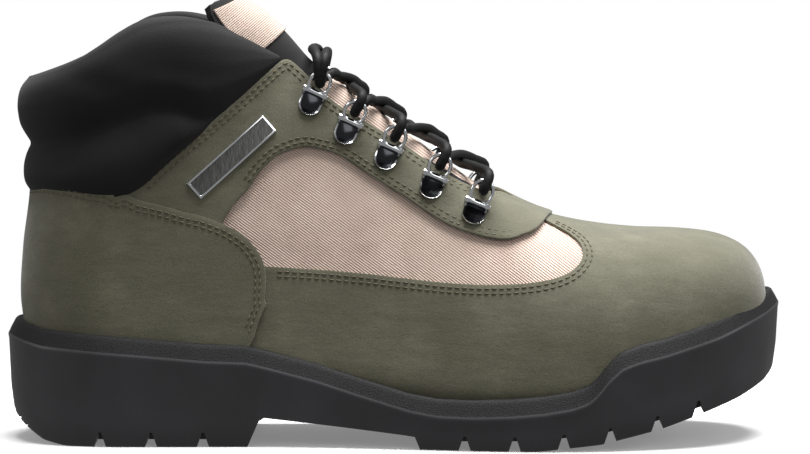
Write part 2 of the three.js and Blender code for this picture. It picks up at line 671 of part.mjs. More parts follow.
function ringSolid(frame) {
  const half = plateWidth / 2;
  const shape = new THREE.Shape();
  shape.moveTo(-half, 0);
  shape.lineTo(-half * 0.92, -plateLength + half);
  shape.quadraticCurveTo(-half * 0.8, -plateLength, 0, -plateLength);
  shape.quadraticCurveTo(half * 0.8, -plateLength, half * 0.92, -plateLength + half);
  shape.lineTo(half, 0);
  const plate = new THREE.ExtrudeGeometry(shape, { depth: plateThickness, bevelEnabled: false, curveSegments: 2 });
  const bar = new THREE.CylinderGeometry(barRadius, barRadius, plateWidth, 6)
    .rotateZ(Math.PI / 2)
    .translate(0, 0, barRadius);
  const ring = new THREE.TorusGeometry(ringRadius, ringWire, 4, 8)
    .translate(0, ringRadius, 0)
    .rotateX(ringTilt)
    .translate(0, 0, barRadius);
  return [plate, bar, ring]
    .map((piece) => solidOf(piece.applyMatrix4(frameMatrix(frame))))
    .reduce((sum, piece) => sum.add(piece));
}

function ringCentre(frame) {
  return frame.point.clone()
    .addScaledVector(frame.up, ringRadius * Math.cos(ringTilt))
    .addScaledVector(frame.out, barRadius + ringRadius * Math.sin(ringTilt));
}

// The lace: strands from ring to ring that cross over the tongue's ridge and bow up a little on their way.
function strandSolid(from, over, to) {
  const lead = (end) => end.clone().lerp(over, 0.45).setZ(THREE.MathUtils.lerp(end.z, over.z, 0.8) + laceBow);
  const path = new THREE.CatmullRomCurve3([from, lead(from), over, lead(to), to], false, "centripetal");
  const section = new THREE.Shape();
  const sides = 5;
  for (let i = 0; i <= sides; i++) {
    const angle = (2 * Math.PI * i) / sides;
    const x = (laceThickness / 2) * Math.cos(angle);
    const y = (laceThickness / 2) * Math.sin(angle);
    if (i === 0) section.moveTo(x, y);
    else section.lineTo(x, y);
  }
  return solidOf(new THREE.ExtrudeGeometry(section, { steps: 5, extrudePath: path, bevelEnabled: false }));
}

function laceSolid(outerRings, innerRings) {
  const crossings = laceCrossings.map(([x, z]) => new THREE.Vector3(xOf(x), 0, zOf(z)));
  const strands = [];
  for (let i = 0; i + 1 < ringBars.length; i++) {
    strands.push(strandSolid(outerRings[i], crossings[i + 1], innerRings[i + 1]));
    strands.push(strandSolid(innerRings[i], crossings[i + 1], outerRings[i + 1]));
  }
  const lowest = ringBars.length - 1;
  strands.push(strandSolid(outerRings[0], crossings[0], innerRings[0]));
  strands.push(strandSolid(outerRings[lowest], crossings[lowest + 1], innerRings[lowest]));
  return strands.reduce((sum, strand) => sum.add(strand));
}

function badgeSolid() {
  const slope = THREE.MathUtils.degToRad(badge.slope);
  const steps = 5;
  const rings = [];
  for (let i = 0; i <= steps; i++) {
    const along = (i / steps - 0.5) * badge.length;
    const corner = (across, rise) => {
      const x = xOf(badge.x) + along * Math.cos(slope) - across * Math.sin(slope);
      const z = zOf(badge.z) + along * Math.sin(slope) + across * Math.cos(slope);
      const { station, turn } = placeAt(x, z);
      return offsetPoint(station, turn, -1, rise);
    };
    const half = badge.width / 2;
    const low = eyestayRise + gap;
    const high = low + badge.thickness;
    rings.push([corner(-half, low), corner(half, low), corner(half, high), corner(-half, high)]);
  }
  return loftSolid(rings);
}

// The group.
const finishes = {
  rubber: { color: 0x1f2022, roughness: 0.55, metalness: 0 },
  nubuck: { color: 0x5a5747, roughness: 0.85, metalness: 0 },
  cloth: { color: 0xc4b0a4, roughness: 0.8, metalness: 0 },
  padding: { color: 0x17181a, roughness: 0.9, metalness: 0 },
  footbed: { color: 0x202122, roughness: 0.95, metalness: 0 },
  chrome: { color: 0xc9cbcf, roughness: 0.12, metalness: 1 },
  cord: { color: 0x141414, roughness: 0.85, metalness: 0 },
};
const materials = Object.fromEntries(
  Object.entries(finishes).map(([name, look]) => [name, new THREE.MeshStandardMaterial(look)]),
);
const boot = new THREE.Group();

function addPiece(name, solid, finish) {
  const mesh = new THREE.Mesh(geometryOf(solid), materials[finish]);
  mesh.name = name;
  boot.add(mesh);
}

addPiece("sole", soleSolid(), "rubber");
addPiece("upper", upperSolid(), "nubuck");
addPiece("insole", insoleSolid(), "footbed");
addPiece("heel_counter", counterSolid(), "nubuck");
addPiece("eyestay", eyestaySolid(), "nubuck");
addPiece("collar", collarSolid(), "padding");
addPiece("tongue", tongueSolid(), "cloth");
addPiece("pull_tab", pullTabSolid(), "cloth");
addPiece("plate", badgeSolid(), "chrome");

const ringFrames = [-1, 1].map((side) =>
  ringBars.map(([x, z]) => frameAt(xOf(x), zOf(z), side, eyestayRise + gap)));
ringFrames.forEach((frames, i) => {
  frames.forEach((frame, k) => {
    addPiece(`${i === 0 ? "outer" : "inner"}_ring_${k + 1}`, ringSolid(frame), "chrome");
  });
});
const [outerCentres, innerCentres] = ringFrames.map((frames) => frames.map(ringCentre));
addPiece("laces", laceSolid(outerCentres, innerCentres), "cord");

// The frame's origin is the middle of the foot print, and the fuller inner side moves it a little.
const bounds = new THREE.Box3().setFromObject(boot);
boot.position.set(-(bounds.min.x + bounds.max.x) / 2, -(bounds.min.y + bounds.max.y) / 2, -bounds.min.z);

export default boot;
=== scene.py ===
import math

import bmesh
import bpy
import numpy as np
from mathutils import Matrix, Vector


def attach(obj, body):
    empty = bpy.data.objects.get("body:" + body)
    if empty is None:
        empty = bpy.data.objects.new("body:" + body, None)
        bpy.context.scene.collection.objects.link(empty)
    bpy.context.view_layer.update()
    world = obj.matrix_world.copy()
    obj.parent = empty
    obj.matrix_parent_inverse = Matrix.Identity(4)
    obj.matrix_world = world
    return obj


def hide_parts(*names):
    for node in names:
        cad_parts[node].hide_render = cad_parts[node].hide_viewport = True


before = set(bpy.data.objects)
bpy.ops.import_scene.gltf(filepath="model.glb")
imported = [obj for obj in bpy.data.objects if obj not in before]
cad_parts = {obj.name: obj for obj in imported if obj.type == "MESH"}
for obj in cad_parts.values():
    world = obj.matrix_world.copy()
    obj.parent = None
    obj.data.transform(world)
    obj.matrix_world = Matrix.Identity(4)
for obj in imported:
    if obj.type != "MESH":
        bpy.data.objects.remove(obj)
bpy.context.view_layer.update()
print("stage: frame loaded")

mm = 0.001


# Camera, floor and light.

viewSettings = {"target": (4.2, 0.0, 82.9), "elevation": 4.7, "distance": 1650.0, "widthAtTarget": 320.8}


def makeCamera(settings):
    data = bpy.data.cameras.new("camera")
    data.sensor_width = 36.0
    data.lens = 36.0 * settings["distance"] / settings["widthAtTarget"]
    data.clip_start = 0.05
    camera = bpy.data.objects.new("camera", data)
    bpy.context.scene.collection.objects.link(camera)
    tilt = math.radians(settings["elevation"])
    target = Vector(settings["target"]) * mm
    away = Vector((0.0, -math.cos(tilt), math.sin(tilt)))
    camera.location = target + away * settings["distance"] * mm
    camera.rotation_euler = (-away).to_track_quat("-Z", "Y").to_euler()
    bpy.context.scene.camera = camera


makeCamera(viewSettings)


# Colours are sRGB hex values, turned to linear light here.
def linearColour(hexValue):
    parts = [int(hexValue[i:i + 2], 16) / 255 for i in (1, 3, 5)]
    return tuple(c / 12.92 if c <= 0.04045 else ((c + 0.055) / 1.055) ** 2.4 for c in parts) + (1.0,)


# Adds a node, sets its properties and fills or links its inputs.
def addNode(material, kind, settings=None, inputs=None):
    tree = material.node_tree
    node = tree.nodes.new(kind)
    for name, value in (settings or {}).items():
        setattr(node, name, value)
    for name, value in (inputs or {}).items():
        if isinstance(value, bpy.types.NodeSocket):
            tree.links.new(value, node.inputs[name])
        else:
            node.inputs[name].default_value = value
    return node


def newMaterial(name):
    material = bpy.data.materials.new(name)
    material.use_nodes = True
    material.node_tree.nodes.clear()
    return material


def rampNode(material, factor, stops):
    node = addNode(material, "ShaderNodeValToRGB", inputs={"Fac": factor})
    ramp = node.color_ramp
    while len(ramp.elements) < len(stops):
        ramp.elements.new(0.5)
    for element, (place, colour) in zip(ramp.elements, stops):
        element.position = place
        element.color = linearColour(colour)
    return node.outputs["Color"]


def finishMaterial(material, shaderInputs, bump=None):
    shader = addNode(material, "ShaderNodeBsdfPrincipled", inputs=shaderInputs)
    if bump is not None:
        material.node_tree.links.new(bump, shader.inputs["Normal"])
    addNode(material, "ShaderNodeOutputMaterial", inputs={"Surface": shader.outputs["BSDF"]})
    return material


floorSettings = {"size": 1.4, "colour": "#f2f2f2", "roughness": 0.5, "paperTo": 0.17, "paintedGlowFrom": 0.4}


# Away from the boot the paper is a white emission, a painted glow standing in for paper burnt out by the
# lamps; near the boot a fifth of that glow is mixed in as well, painted light that lifts the contact shadow.
def makeFloor(settings):
    mesh = bpy.data.meshes.new("floor")
    floor = bpy.data.objects.new("floor", mesh)
    bm = bmesh.new()
    bmesh.ops.create_grid(bm, x_segments=1, y_segments=1, size=settings["size"] / 2)
    bm.to_mesh(mesh)
    bm.free()
    bpy.context.scene.collection.objects.link(floor)
    paper = newMaterial("studio paper")
    shader = addNode(paper, "ShaderNodeBsdfPrincipled", inputs={
        "Base Color": linearColour(settings["colour"]), "Roughness": settings["roughness"]})
    # Painted glow: a white emission that makes the paper shine as if lit, though it is no lamp.
    paintedGlow = addNode(paper, "ShaderNodeEmission", inputs={"Color": linearColour("#ffffff"), "Strength": 1.0})
    away = addNode(paper, "ShaderNodeVectorMath", {"operation": "LENGTH"}, {
        0: addNode(paper, "ShaderNodeTexCoord").outputs["Object"]})
    # The glow's share: one fifth near the boot, painted light that lightens the shadow there, rising to the
    # whole glow further out.
    fade = addNode(paper, "ShaderNodeMapRange", inputs={
        "Value": away.outputs["Value"], "From Min": settings["paperTo"], "From Max": settings["paintedGlowFrom"],
        "To Min": 0.2})
    blend = addNode(paper, "ShaderNodeMixShader", inputs={
        0: fade.outputs["Result"], 1: shader.outputs["BSDF"], 2: paintedGlow.outputs["Emission"]})
    addNode(paper, "ShaderNodeOutputMaterial", inputs={"Surface": blend.outputs["Shader"]})
    mesh.materials.append(paper)
    floor.visible_diffuse = False
    floor.visible_glossy = False


makeFloor(floorSettings)

# A big soft box overhead gives pale tops and dark sides, as in the photo, and two weak ones lift the toe and
# the front.
lightSettings = [
    {"name": "topSoftbox", "place": (0.12, 0.02, 1.15), "aim": (0.02, 0.0, 0.08), "size": 0.85,
     "power": 44.0},
    {"name": "frontSoftbox", "place": (0.5, -1.5, 0.9), "aim": (0.0, 0.0, 0.06), "size": 0.7, "power": 4.2},
    {"name": "toeSoftbox", "place": (1.3, -0.35, 0.55), "aim": (0.08, 0.0, 0.07), "size": 0.5, "power": 4.0},
    {"name": "heelSoftbox", "place": (-1.2, -0.4, 0.35), "aim": (-0.1, 0.0, 0.07), "size": 0.4, "power": 2.6},
]
worldSettings = {"fill": 0.3, "seen": 1.0}


def makeLights(settings, world):
    for entry in settings:
        data = bpy.data.lights.new(entry["name"], "AREA")
        data.shape = "SQUARE"
        data.size = entry["size"]
        data.energy = entry["power"]
        light = bpy.data.objects.new(entry["name"], data)
        light.location = entry["place"]
        direction = Vector(entry["aim"]) - Vector(entry["place"])
        light.rotation_euler = direction.to_track_quat("-Z", "Y").to_euler()
        bpy.context.scene.collection.objects.link(light)
    studio = bpy.data.worlds.new("studio")
    studio.use_nodes = True
    background = studio.node_tree.nodes["Background"]
    background.inputs["Color"].default_value = linearColour("#ffffff")
    strength = addNode(studio, "ShaderNodeMapRange", inputs={
        "Value": addNode(studio, "ShaderNodeLightPath").outputs["Is Camera Ray"], "To Min": world["fill"],
        "To Max": world["seen"]})
    studio.node_tree.links.new(strength.outputs["Result"], background.inputs["Strength"])
    bpy.context.scene.world = studio
    bpy.context.scene.view_settings.view_transform = "Standard"


makeLights(lightSettings, worldSettings)
print("stage: camera, floor and light")


# The last: the same surface that the solids are made from, in millimetres.

lastSizes = {"soleLength": 306.0, "ballWidth": 108.0, "collarHeight": 168.0, "heelStack": 44.0}
lastColumns = ["lowX", "lowZ", "topX", "topZ", "outerY", "innerY", "centreY", "widest", "lowRound",
    "topRound", "lean"]
lastRows = np.array([
    [0.478, 0.31, 0.478, 0.317, 0.028, 0.12, 0.074, 0.45, 1.0, 1.0, 0.0],
    [0.476, 0.256, 0.476, 0.357, -0.056, 0.194, 0.074, 0.45, 0.9, 0.95, 0.0],
    [0.471, 0.226, 0.471, 0.393, -0.116, 0.255, 0.074, 0.42, 0.8, 0.9, 0.0],
    [0.458, 0.202, 0.458, 0.429, -0.181, 0.31, 0.074, 0.4, 0.7, 0.85, 0.0],
    [0.438, 0.182, 0.438, 0.454, -0.245, 0.356, 0.069, 0.36, 0.6, 0.82, 0.0],
    [0.408, 0.161, 0.408, 0.472, -0.31, 0.394, 0.06, 0.33, 0.5, 0.8, 0.01],
    [0.363, 0.137, 0.363, 0.481, -0.375, 0.426, 0.046, 0.3, 0.42, 0.79, 0.03],
    [0.307, 0.113, 0.306, 0.485, -0.421, 0.444, 0.037, 0.28, 0.38, 0.79, 0.06],
    [0.248, 0.098, 0.244, 0.499, -0.449, 0.44, 0.028, 0.27, 0.35, 0.79, 0.1],
    [0.183, 0.089, 0.188, 0.524, -0.454, 0.417, 0.023, 0.26, 0.35, 0.77, 0.15],
    [0.111, 0.086, 0.137, 0.568, -0.431, 0.375, 0.019, 0.25, 0.35, 0.72, 0.2],
    [0.033, 0.095, 0.088, 0.631, -0.389, 0.333, 0.014, 0.25, 0.35, 0.68, 0.24],
    [-0.059, 0.116, 0.036, 0.702, -0.347, 0.301, 0.009, 0.25, 0.35, 0.66, 0.26],
    [-0.163, 0.143, -0.016, 0.774, -0.315, 0.287, 0.005, 0.25, 0.35, 0.66, 0.26],
    [-0.278, 0.164, -0.056, 0.827, -0.301, 0.296, 0.0, 0.26, 0.35, 0.68, 0.24],
    [-0.386, 0.173, -0.085, 0.866, -0.296, 0.296, 0.0, 0.27, 0.45, 0.7, 0.22],
    [-0.453, 0.202, -0.105, 0.893, -0.296, 0.296, 0.0, 0.3, 0.75, 0.72, 0.2],
    [-0.473, 0.31, -0.121, 0.917, -0.301, 0.301, 0.0, 0.33, 0.95, 0.75, 0.18],
    [-0.471, 0.446, -0.137, 0.938, -0.306, 0.306, 0.0, 0.36, 1.0, 0.78, 0.15],
    [-0.462, 0.577, -0.154, 0.958, -0.306, 0.306, 0.0, 0.38, 1.0, 0.8, 0.12],
    [-0.461, 0.702, -0.173, 0.982, -0.31, 0.31, 0.0, 0.4, 1.0, 0.82, 0.1],
    [-0.461, 0.833, -0.196, 1.012, -0.315, 0.315, 0.0, 0.42, 1.0, 0.85, 0.08],
    [-0.454, 0.97, -0.219, 1.054, -0.315, 0.315, 0.0, 0.45, 1.0, 0.85, 0.06],
    [-0.448, 1.107, -0.245, 1.119, -0.315, 0.315, 0.0, 0.45, 1.0, 0.85, 0.05],
])
lastScale = {"X": lastSizes["soleLength"], "Z": lastSizes["collarHeight"], "Y": lastSizes["ballWidth"]}
lastTable = {name: lastRows[:, i] * lastScale.get(name[-1], 1.0) for i, name in enumerate(lastColumns)}
lastEnd = len(lastRows) - 1
halfPi = math.pi / 2


# A smooth value through a list at even steps, for a whole array of places.
def smoothValue(values, at):
    values = np.asarray(values, float)
    at = np.asarray(at, float)
    last = len(values) - 1
    i = np.clip(np.floor(at).astype(int), 0, last - 1)
    f = at - i
    slopes = np.empty_like(values)
    slopes[1:-1] = (values[2:] - values[:-2]) / 2
    slopes[0] = values[1] - values[0]
    slopes[-1] = values[-1] - values[-2]
    f2, f3 = f * f, f * f * f
    return ((2 * f3 - 3 * f2 + 1) * values[i] + (f3 - 2 * f2 + f) * slopes[i]
            + (3 * f2 - 2 * f3) * values[i + 1] + (f3 - f2) * slopes[i + 1])


def lastPoints(station, turn, side):
    s = {name: smoothValue(column, station) for name, column in lastTable.items()}
    wide = np.maximum(np.cos(turn), 0.0)
    high = np.abs(np.sin(turn))
    low = turn < 0
    curve = np.where(low, s["lowRound"], s["topRound"])
    up = np.where(low, s["widest"] * (1 - high ** curve), s["widest"] + (1 - s["widest"]) * high ** curve)
    edge = np.where(np.asarray(side) < 0, s["outerY"], s["innerY"])
    y = s["centreY"] + (edge - s["centreY"]) * wide ** curve * (1 - s["lean"] * up)
    x = s["lowX"] + (s["topX"] - s["lowX"]) * up
    z = s["lowZ"] + (s["topZ"] - s["lowZ"]) * up
    return np.stack([x, y, z], axis=-1)


def lastNormals(station, turn, side):
    step = 0.02
    t = np.clip(turn, -halfPi + step, halfPi - step)
    along = (lastPoints(np.minimum(station + step, lastEnd), t, side)
             - lastPoints(np.maximum(station - step, 0), t, side))
    around = lastPoints(station, t + step, side) - lastPoints(station, t - step, side)
    normal = np.cross(around, along) * np.where(np.asarray(side) < 0, 1.0, -1.0)[..., None]
    return normal / np.linalg.norm(normal, axis=-1, keepdims=True)


def surfacePoints(station, turn, side, rise):
    side = np.broadcast_to(side, np.shape(station))
    rise = np.broadcast_to(rise, np.shape(station))
    return lastPoints(station, turn, side) + lastNormals(station, turn, side) * rise[..., None]


# The place on the last at a point of the side view, as station and turn.
def sidePlace(x, z):
    x, z = np.asarray(x, float), np.asarray(z, float)
    low = np.full(np.broadcast(x, z).shape, 0.0)
    high = np.full_like(low, float(lastEnd))
    for _ in range(34):
        mid = (low + high) / 2
        s = {name: smoothValue(lastTable[name], mid) for name in ("lowX", "lowZ", "topX", "topZ")}
        cross = (s["topX"] - s["lowX"]) * (z - s["lowZ"]) - (s["topZ"] - s["lowZ"]) * (x - s["lowX"])
        low = np.where(cross > 0, mid, low)
        high = np.where(cross > 0, high, mid)
    station = (low + high) / 2
    s = {name: smoothValue(column, station) for name, column in lastTable.items()}
    dx, dz = s["topX"] - s["lowX"], s["topZ"] - s["lowZ"]
    up = np.clip(((x - s["lowX"]) * dx + (z - s["lowZ"]) * dz) / (dx * dx + dz * dz), 0.0001, 0.9999)
    below = up < s["widest"]
    lowTurn = -np.arcsin(np.clip(1 - up / s["widest"], 0, 1) ** (1 / s["lowRound"]))
    topTurn = np.arcsin(np.clip((up - s["widest"]) / (1 - s["widest"]), 0, 1) ** (1 / s["topRound"]))
    return station, np.where(below, lowTurn, topTurn)


# The station whose top point lies at x on the ridge, and the one whose low point lies at z on the heel's
# back.
fineStations = np.linspace(0, lastEnd, 2301)
fineTopX = smoothValue(lastTable["topX"], fineStations)
fineLowZ = smoothValue(lastTable["lowZ"], fineStations)
fineLowX = smoothValue(lastTable["lowX"], fineStations)


def ridgeStation(x):
    return float(np.interp(-x, -fineTopX, fineStations))


def ridgePlace(x, half=0.0):
    station = ridgeStation(x)
    if half == 0:
        return station, halfPi
    turns = np.linspace(0.2, halfPi, 400)
    ys = np.abs(lastPoints(np.full(400, station), turns, -1)[:, 1]
                - smoothValue(lastTable["centreY"], station))
    return station, float(np.interp(-half, -ys, turns))


def backPlace(z):
    heel = fineStations > 15.4
    return float(np.interp(z, fineLowZ[heel], fineStations[heel])), -halfPi


def heelX(z):
    return float(np.interp(z, fineLowZ[fineStations > 15.4], fineLowX[fineStations > 15.4]))


soleLines = {
    "tread": np.array([[-0.5, 0.29], [-0.472, 0.14], [-0.448, 0.04], [-0.42, 0], [-0.1, 0], [0.18, 0],
                       [0.26, 0.06],
                       [0.335, 0.18], [0.38, 0.28], [0.44, 0.42], [0.477, 0.53], [0.5, 0.64]]),
    "top": np.array([[-0.5, 1.1], [-0.45, 1.03], [-0.38, 0.993], [-0.325, 0.965], [-0.242, 0.914],
                     [-0.186, 0.898],
                     [-0.147, 0.83], [-0.098, 0.743], [-0.048, 0.632], [0.018, 0.498], [0.055, 0.454],
                     [0.1, 0.448],
                     [0.152, 0.464], [0.19, 0.49], [0.224, 0.53], [0.245, 0.58], [0.258, 0.66], [0.27, 0.77],
                     [0.288, 0.88], [0.31, 0.935], [0.343, 0.985], [0.413, 1.125], [0.448, 1.22],
                     [0.479, 1.3],
                     [0.5, 1.36]]),
}


def soleHeight(line, x):
    points = soleLines[line]
    return np.interp(x, points[:, 0] * lastSizes["soleLength"], points[:, 1] * lastSizes["heelStack"])


print("stage: last ready")


# Helpers for sheets and pieces.

def linkPiece(name, bm, materials, nodes, smoothAngle=40):
    mesh = bpy.data.meshes.new(name)
    bm.to_mesh(mesh)
    bm.free()
    for material in materials:
        mesh.materials.append(material)
    for polygon in mesh.polygons:
        polygon.use_smooth = True
    mesh.set_sharp_from_angle(angle=math.radians(smoothAngle))
    piece = bpy.data.objects.new(name, mesh)
    bpy.context.scene.collection.objects.link(piece)
    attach(piece, "root")
    if nodes:
        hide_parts(*nodes)
    return piece


# A grid of columns by rows bent to an array of points of that shape, facing the way of outward.
def bendGrid(bm, points, outward=None):
    rows, columns = points.shape[:2]
    grid = bmesh.ops.create_grid(bm, x_segments=columns - 1, y_segments=rows - 1, size=1.0)
    verts = grid["verts"]
    for v in verts:
        i = round((v.co.x + 1) / 2 * (columns - 1))
        j = round((v.co.y + 1) / 2 * (rows - 1))
        v.co = Vector(points[j, i]) * mm
    faces = list({f for v in verts for f in v.link_faces})
    if outward is not None:
        total = 0.0
        for f in faces[::7]:
            f.normal_update()
            near = points.reshape(-1, 3)
            k = int(np.argmin(np.abs(near - np.array(f.calc_center_median()) / mm).sum(axis=1)))
            total += f.normal.dot(Vector(outward.reshape(-1, 3)[k]))
        if total < 0:
            bmesh.ops.reverse_faces(bm, faces=faces)
    return verts, faces


# A sheet between an upper and a lower curve through a middle one. Each row of places holds three (station,
# turn) pairs.
def sheetPlaces(rows, across, along):
    keys = np.array([[list(place) for place in row] for row in rows], float)
    u = np.linspace(0, len(keys) - 1, along)
    v = np.linspace(0, 1, across)[:, None]
    curve = [[smoothValue(keys[:, k, axis], u)[None, :] for axis in (0, 1)] for k in range(3)]
    weights = ((1 - v) * (1 - 2 * v), 4 * v * (1 - v), v * (2 * v - 1))
    station = sum(w * c[0] for w, c in zip(weights, curve))
    turn = sum(w * c[1] for w, c in zip(weights, curve))
    return np.clip(station, 0, lastEnd), np.clip(turn, -halfPi, halfPi)


def middle(a, b):
    return ((a[0] + b[0]) / 2, (a[1] + b[1]) / 2)


# Both sides of a sheet on the last, joined where they meet on the ridge or the heel.
def sheetMesh(rows, across, along, rise):
    bm = bmesh.new()
    station, turn = sheetPlaces(rows, across, along)
    height = rise if np.ndim(rise) else np.full(station.shape, float(rise))
    for side in (-1, 1):
        points = surfacePoints(station, turn, side, height)
        seam = np.abs(turn) > halfPi - 0.0001
        points[seam, 1] = smoothValue(lastTable["centreY"], station)[seam]
        bendGrid(bm, points, lastNormals(station, turn, np.full(station.shape, side)))
    bmesh.ops.remove_doubles(bm, verts=bm.verts, dist=0.00015)
    return bm


def addThickness(piece, thickness, bevel):
    solid = piece.modifiers.new("thickness", "SOLIDIFY")
    solid.thickness = thickness * mm
    solid.offset = -1.0
    if bevel:
        edge = piece.modifiers.new("edge", "BEVEL")
        edge.width = bevel * mm
        edge.segments = 2
        edge.limit_method = "ANGLE"
        edge.angle_limit = math.radians(50)
        edge.harden_normals = False


# Soft troughs and ridges: from (x, z) to (x, z), their depth and their half width in mm.
def softCreases(creases):
    def shape(points):
        x, z = points[..., 0], points[..., 2]
        total = np.zeros(x.shape)
        for crease in creases:
            (ax, az), (bx, bz) = crease["from"], crease["to"]
            dx, dz = bx - ax, bz - az
            t = np.clip(((x - ax) * dx + (z - az) * dz) / (dx * dx + dz * dz), 0, 1)
            distance = np.hypot(x - ax - t * dx, z - az - t * dz)
            fade = np.clip(np.sin(np.pi * np.clip(t, 0.04, 0.96)), 0, 1) ** 0.5
            total = total + crease["depth"] * fade * np.exp(-(distance / crease["width"]) ** 2)
        return total
    return shape


# Materials.

# Nubuck is leather sanded to a short nap: matt, cloudy, and paler where the nap is brushed.
def makeNubuck(name, shades):
    material = newMaterial(name)
    place = addNode(material, "ShaderNodeTexCoord").outputs["Object"]
    cloud = addNode(material, "ShaderNodeTexNoise",
        inputs={"Vector": place, "Scale": 42.0, "Detail": 4.0, "Roughness": 0.6})
    streak = addNode(material, "ShaderNodeMapping", inputs={"Vector": place, "Scale": (0.5, 1.0, 1.6)})
    brushed = addNode(material, "ShaderNodeTexNoise",
        inputs={"Vector": streak.outputs["Vector"], "Scale": 130.0, "Detail": 5.0, "Roughness": 0.65})
    nap = addNode(material, "ShaderNodeTexNoise",
        inputs={"Vector": place, "Scale": 1500.0, "Detail": 3.0, "Roughness": 0.7})
    blend = addNode(material, "ShaderNodeMix", {"data_type": "FLOAT"}, {"Factor": 0.4})
    material.node_tree.links.new(cloud.outputs["Fac"], blend.inputs[2])
    material.node_tree.links.new(brushed.outputs["Fac"], blend.inputs[3])
    base = rampNode(material, blend.outputs[0], [(0.3, shades[0]), (0.52, shades[1]), (0.72, shades[2])])
    speckle = rampNode(material, nap.outputs["Fac"], [(0.3, "#dcdcdc"), (0.7, "#ffffff")])
    colour = addNode(material, "ShaderNodeMix", {"data_type": "RGBA", "blend_type": "MULTIPLY"},
        {"Factor": 1.0})
    material.node_tree.links.new(base, colour.inputs[6])
    material.node_tree.links.new(speckle, colour.inputs[7])
    grain = addNode(material, "ShaderNodeBump",
        inputs={"Strength": 0.35, "Distance": 0.0004, "Height": nap.outputs["Fac"]})
    soft = addNode(material, "ShaderNodeBump",
        inputs={"Strength": 0.25, "Distance": 0.0008, "Height": brushed.outputs["Fac"],
        "Normal": grain.outputs["Normal"]})
    return finishMaterial(material, {
        "Base Color": colour.outputs[2], "Roughness": 0.82, "Sheen Weight": 0.25, "Sheen Roughness": 0.45,
        "Specular IOR Level": 0.3}, soft.outputs["Normal"])


nubuck = makeNubuck("olive nubuck", ["#51503f", "#5d5b4b", "#6c6a58"])


# Ballistic cloth: a coarse slanting rib of pale doubled yarns, 0.9 mm from rib to rib.
def makeRibCloth(name, shades, ribMm, slant):
    material = newMaterial(name)
    place = addNode(material, "ShaderNodeTexCoord").outputs["Object"]
    turned = addNode(material, "ShaderNodeMapping",
        inputs={"Vector": place, "Rotation": (0.0, math.radians(slant), 0.0)})
    period = 2 * math.pi / (20 * ribMm * mm)
    rib = addNode(material, "ShaderNodeTexWave", {"bands_direction": "Z"},
        {"Vector": turned.outputs["Vector"], "Scale": period, "Distortion": 0.25, "Detail": 1.0,
        "Detail Scale": 3.0})
    yarn = addNode(material, "ShaderNodeTexWave", {"bands_direction": "X"},
        {"Vector": turned.outputs["Vector"], "Scale": period * 1.7, "Distortion": 0.6, "Detail": 1.0})
    shade = addNode(material, "ShaderNodeTexNoise", inputs={"Vector": place, "Scale": 60.0, "Detail": 3.0})
    base = rampNode(material, rib.outputs["Fac"], [(0.0, shades[0]), (0.45, shades[1]), (1.0, shades[2])])
    tint = rampNode(material, shade.outputs["Fac"], [(0.3, "#e8e4e2"), (0.7, "#ffffff")])
    colour = addNode(material, "ShaderNodeMix", {"data_type": "RGBA", "blend_type": "MULTIPLY"},
        {"Factor": 1.0})
    material.node_tree.links.new(base, colour.inputs[6])
    material.node_tree.links.new(tint, colour.inputs[7])
    height = addNode(material, "ShaderNodeMath", {"operation": "MULTIPLY_ADD"},
        {0: yarn.outputs["Fac"], 1: 0.3, 2: rib.outputs["Fac"]})
    bump = addNode(material, "ShaderNodeBump",
        inputs={"Strength": 0.6, "Distance": 0.0004, "Height": height.outputs[0]})
    return finishMaterial(material, {"Base Color": colour.outputs[2], "Roughness": 0.7, "Sheen Weight": 0.08,
                                     "Specular IOR Level": 0.25}, bump.outputs["Normal"])


ribCloth = makeRibCloth("ribbed ballistic nylon", ["#9c8679", "#c3ada0", "#d9c7bb"], 0.9, -36)


# Moulded rubber: near black, low gloss, with the fine grain of a sandblasted mould.
def makeRubber(name, shade, roughness, grainMm, strength, specular):
    material = newMaterial(name)
    place = addNode(material, "ShaderNodeTexCoord").outputs["Object"]
    grit = addNode(material, "ShaderNodeTexNoise",
        inputs={"Vector": place, "Scale": 1 / (grainMm * mm), "Detail": 2.0})
    bloom = addNode(material, "ShaderNodeTexNoise", inputs={"Vector": place, "Scale": 45.0, "Detail": 3.0})
    colour = rampNode(material, bloom.outputs["Fac"], [(0.3, shade[0]), (0.7, shade[1])])
    bump = addNode(material, "ShaderNodeBump",
        inputs={"Strength": strength, "Distance": 0.0003, "Height": grit.outputs["Fac"]})
    return finishMaterial(material,
        {"Base Color": colour, "Roughness": roughness, "Specular IOR Level": specular},
        bump.outputs["Normal"])


plainRubber = makeRubber("moulded outsole rubber", ["#2c2c2e", "#343437"], 0.46, 0.5, 0.12, 0.42)
# The grained band's colour is far darker than the plain rubber: painted shade, so that the upward chamfer
# stays dark under the top soft box.
grainedRubberPaintedShade = makeRubber("grained outsole rubber with painted shade", ["#0c0c0d", "#131314"], 0.65, 0.45, 0.7, 0.25)


# Smooth lining cloth over foam: black, matt, with the faint fuzz of brushed nylon.
def makePadCloth(name, shade):
    material = newMaterial(name)
    place = addNode(material, "ShaderNodeTexCoord").outputs["Object"]
    fuzz = addNode(material, "ShaderNodeTexNoise", inputs={"Vector": place, "Scale": 1400.0, "Detail": 2.0})
    cloud = addNode(material, "ShaderNodeTexNoise", inputs={"Vector": place, "Scale": 30.0, "Detail": 3.0})
    colour = rampNode(material, cloud.outputs["Fac"], [(0.3, shade[0]), (0.7, shade[1])])
    bump = addNode(material, "ShaderNodeBump",
        inputs={"Strength": 0.25, "Distance": 0.0003, "Height": fuzz.outputs["Fac"]})
    return finishMaterial(material, {"Base Color": colour, "Roughness": 0.8, "Sheen Weight": 0.05,
                                     "Sheen Roughness": 0.5, "Specular IOR Level": 0.2},
                                     bump.outputs["Normal"])


padCloth = makePadCloth("black brushed nylon", ["#121212", "#181818"])
footbedCloth = makePadCloth("footbed felt", ["#1c1c1d", "#262627"])


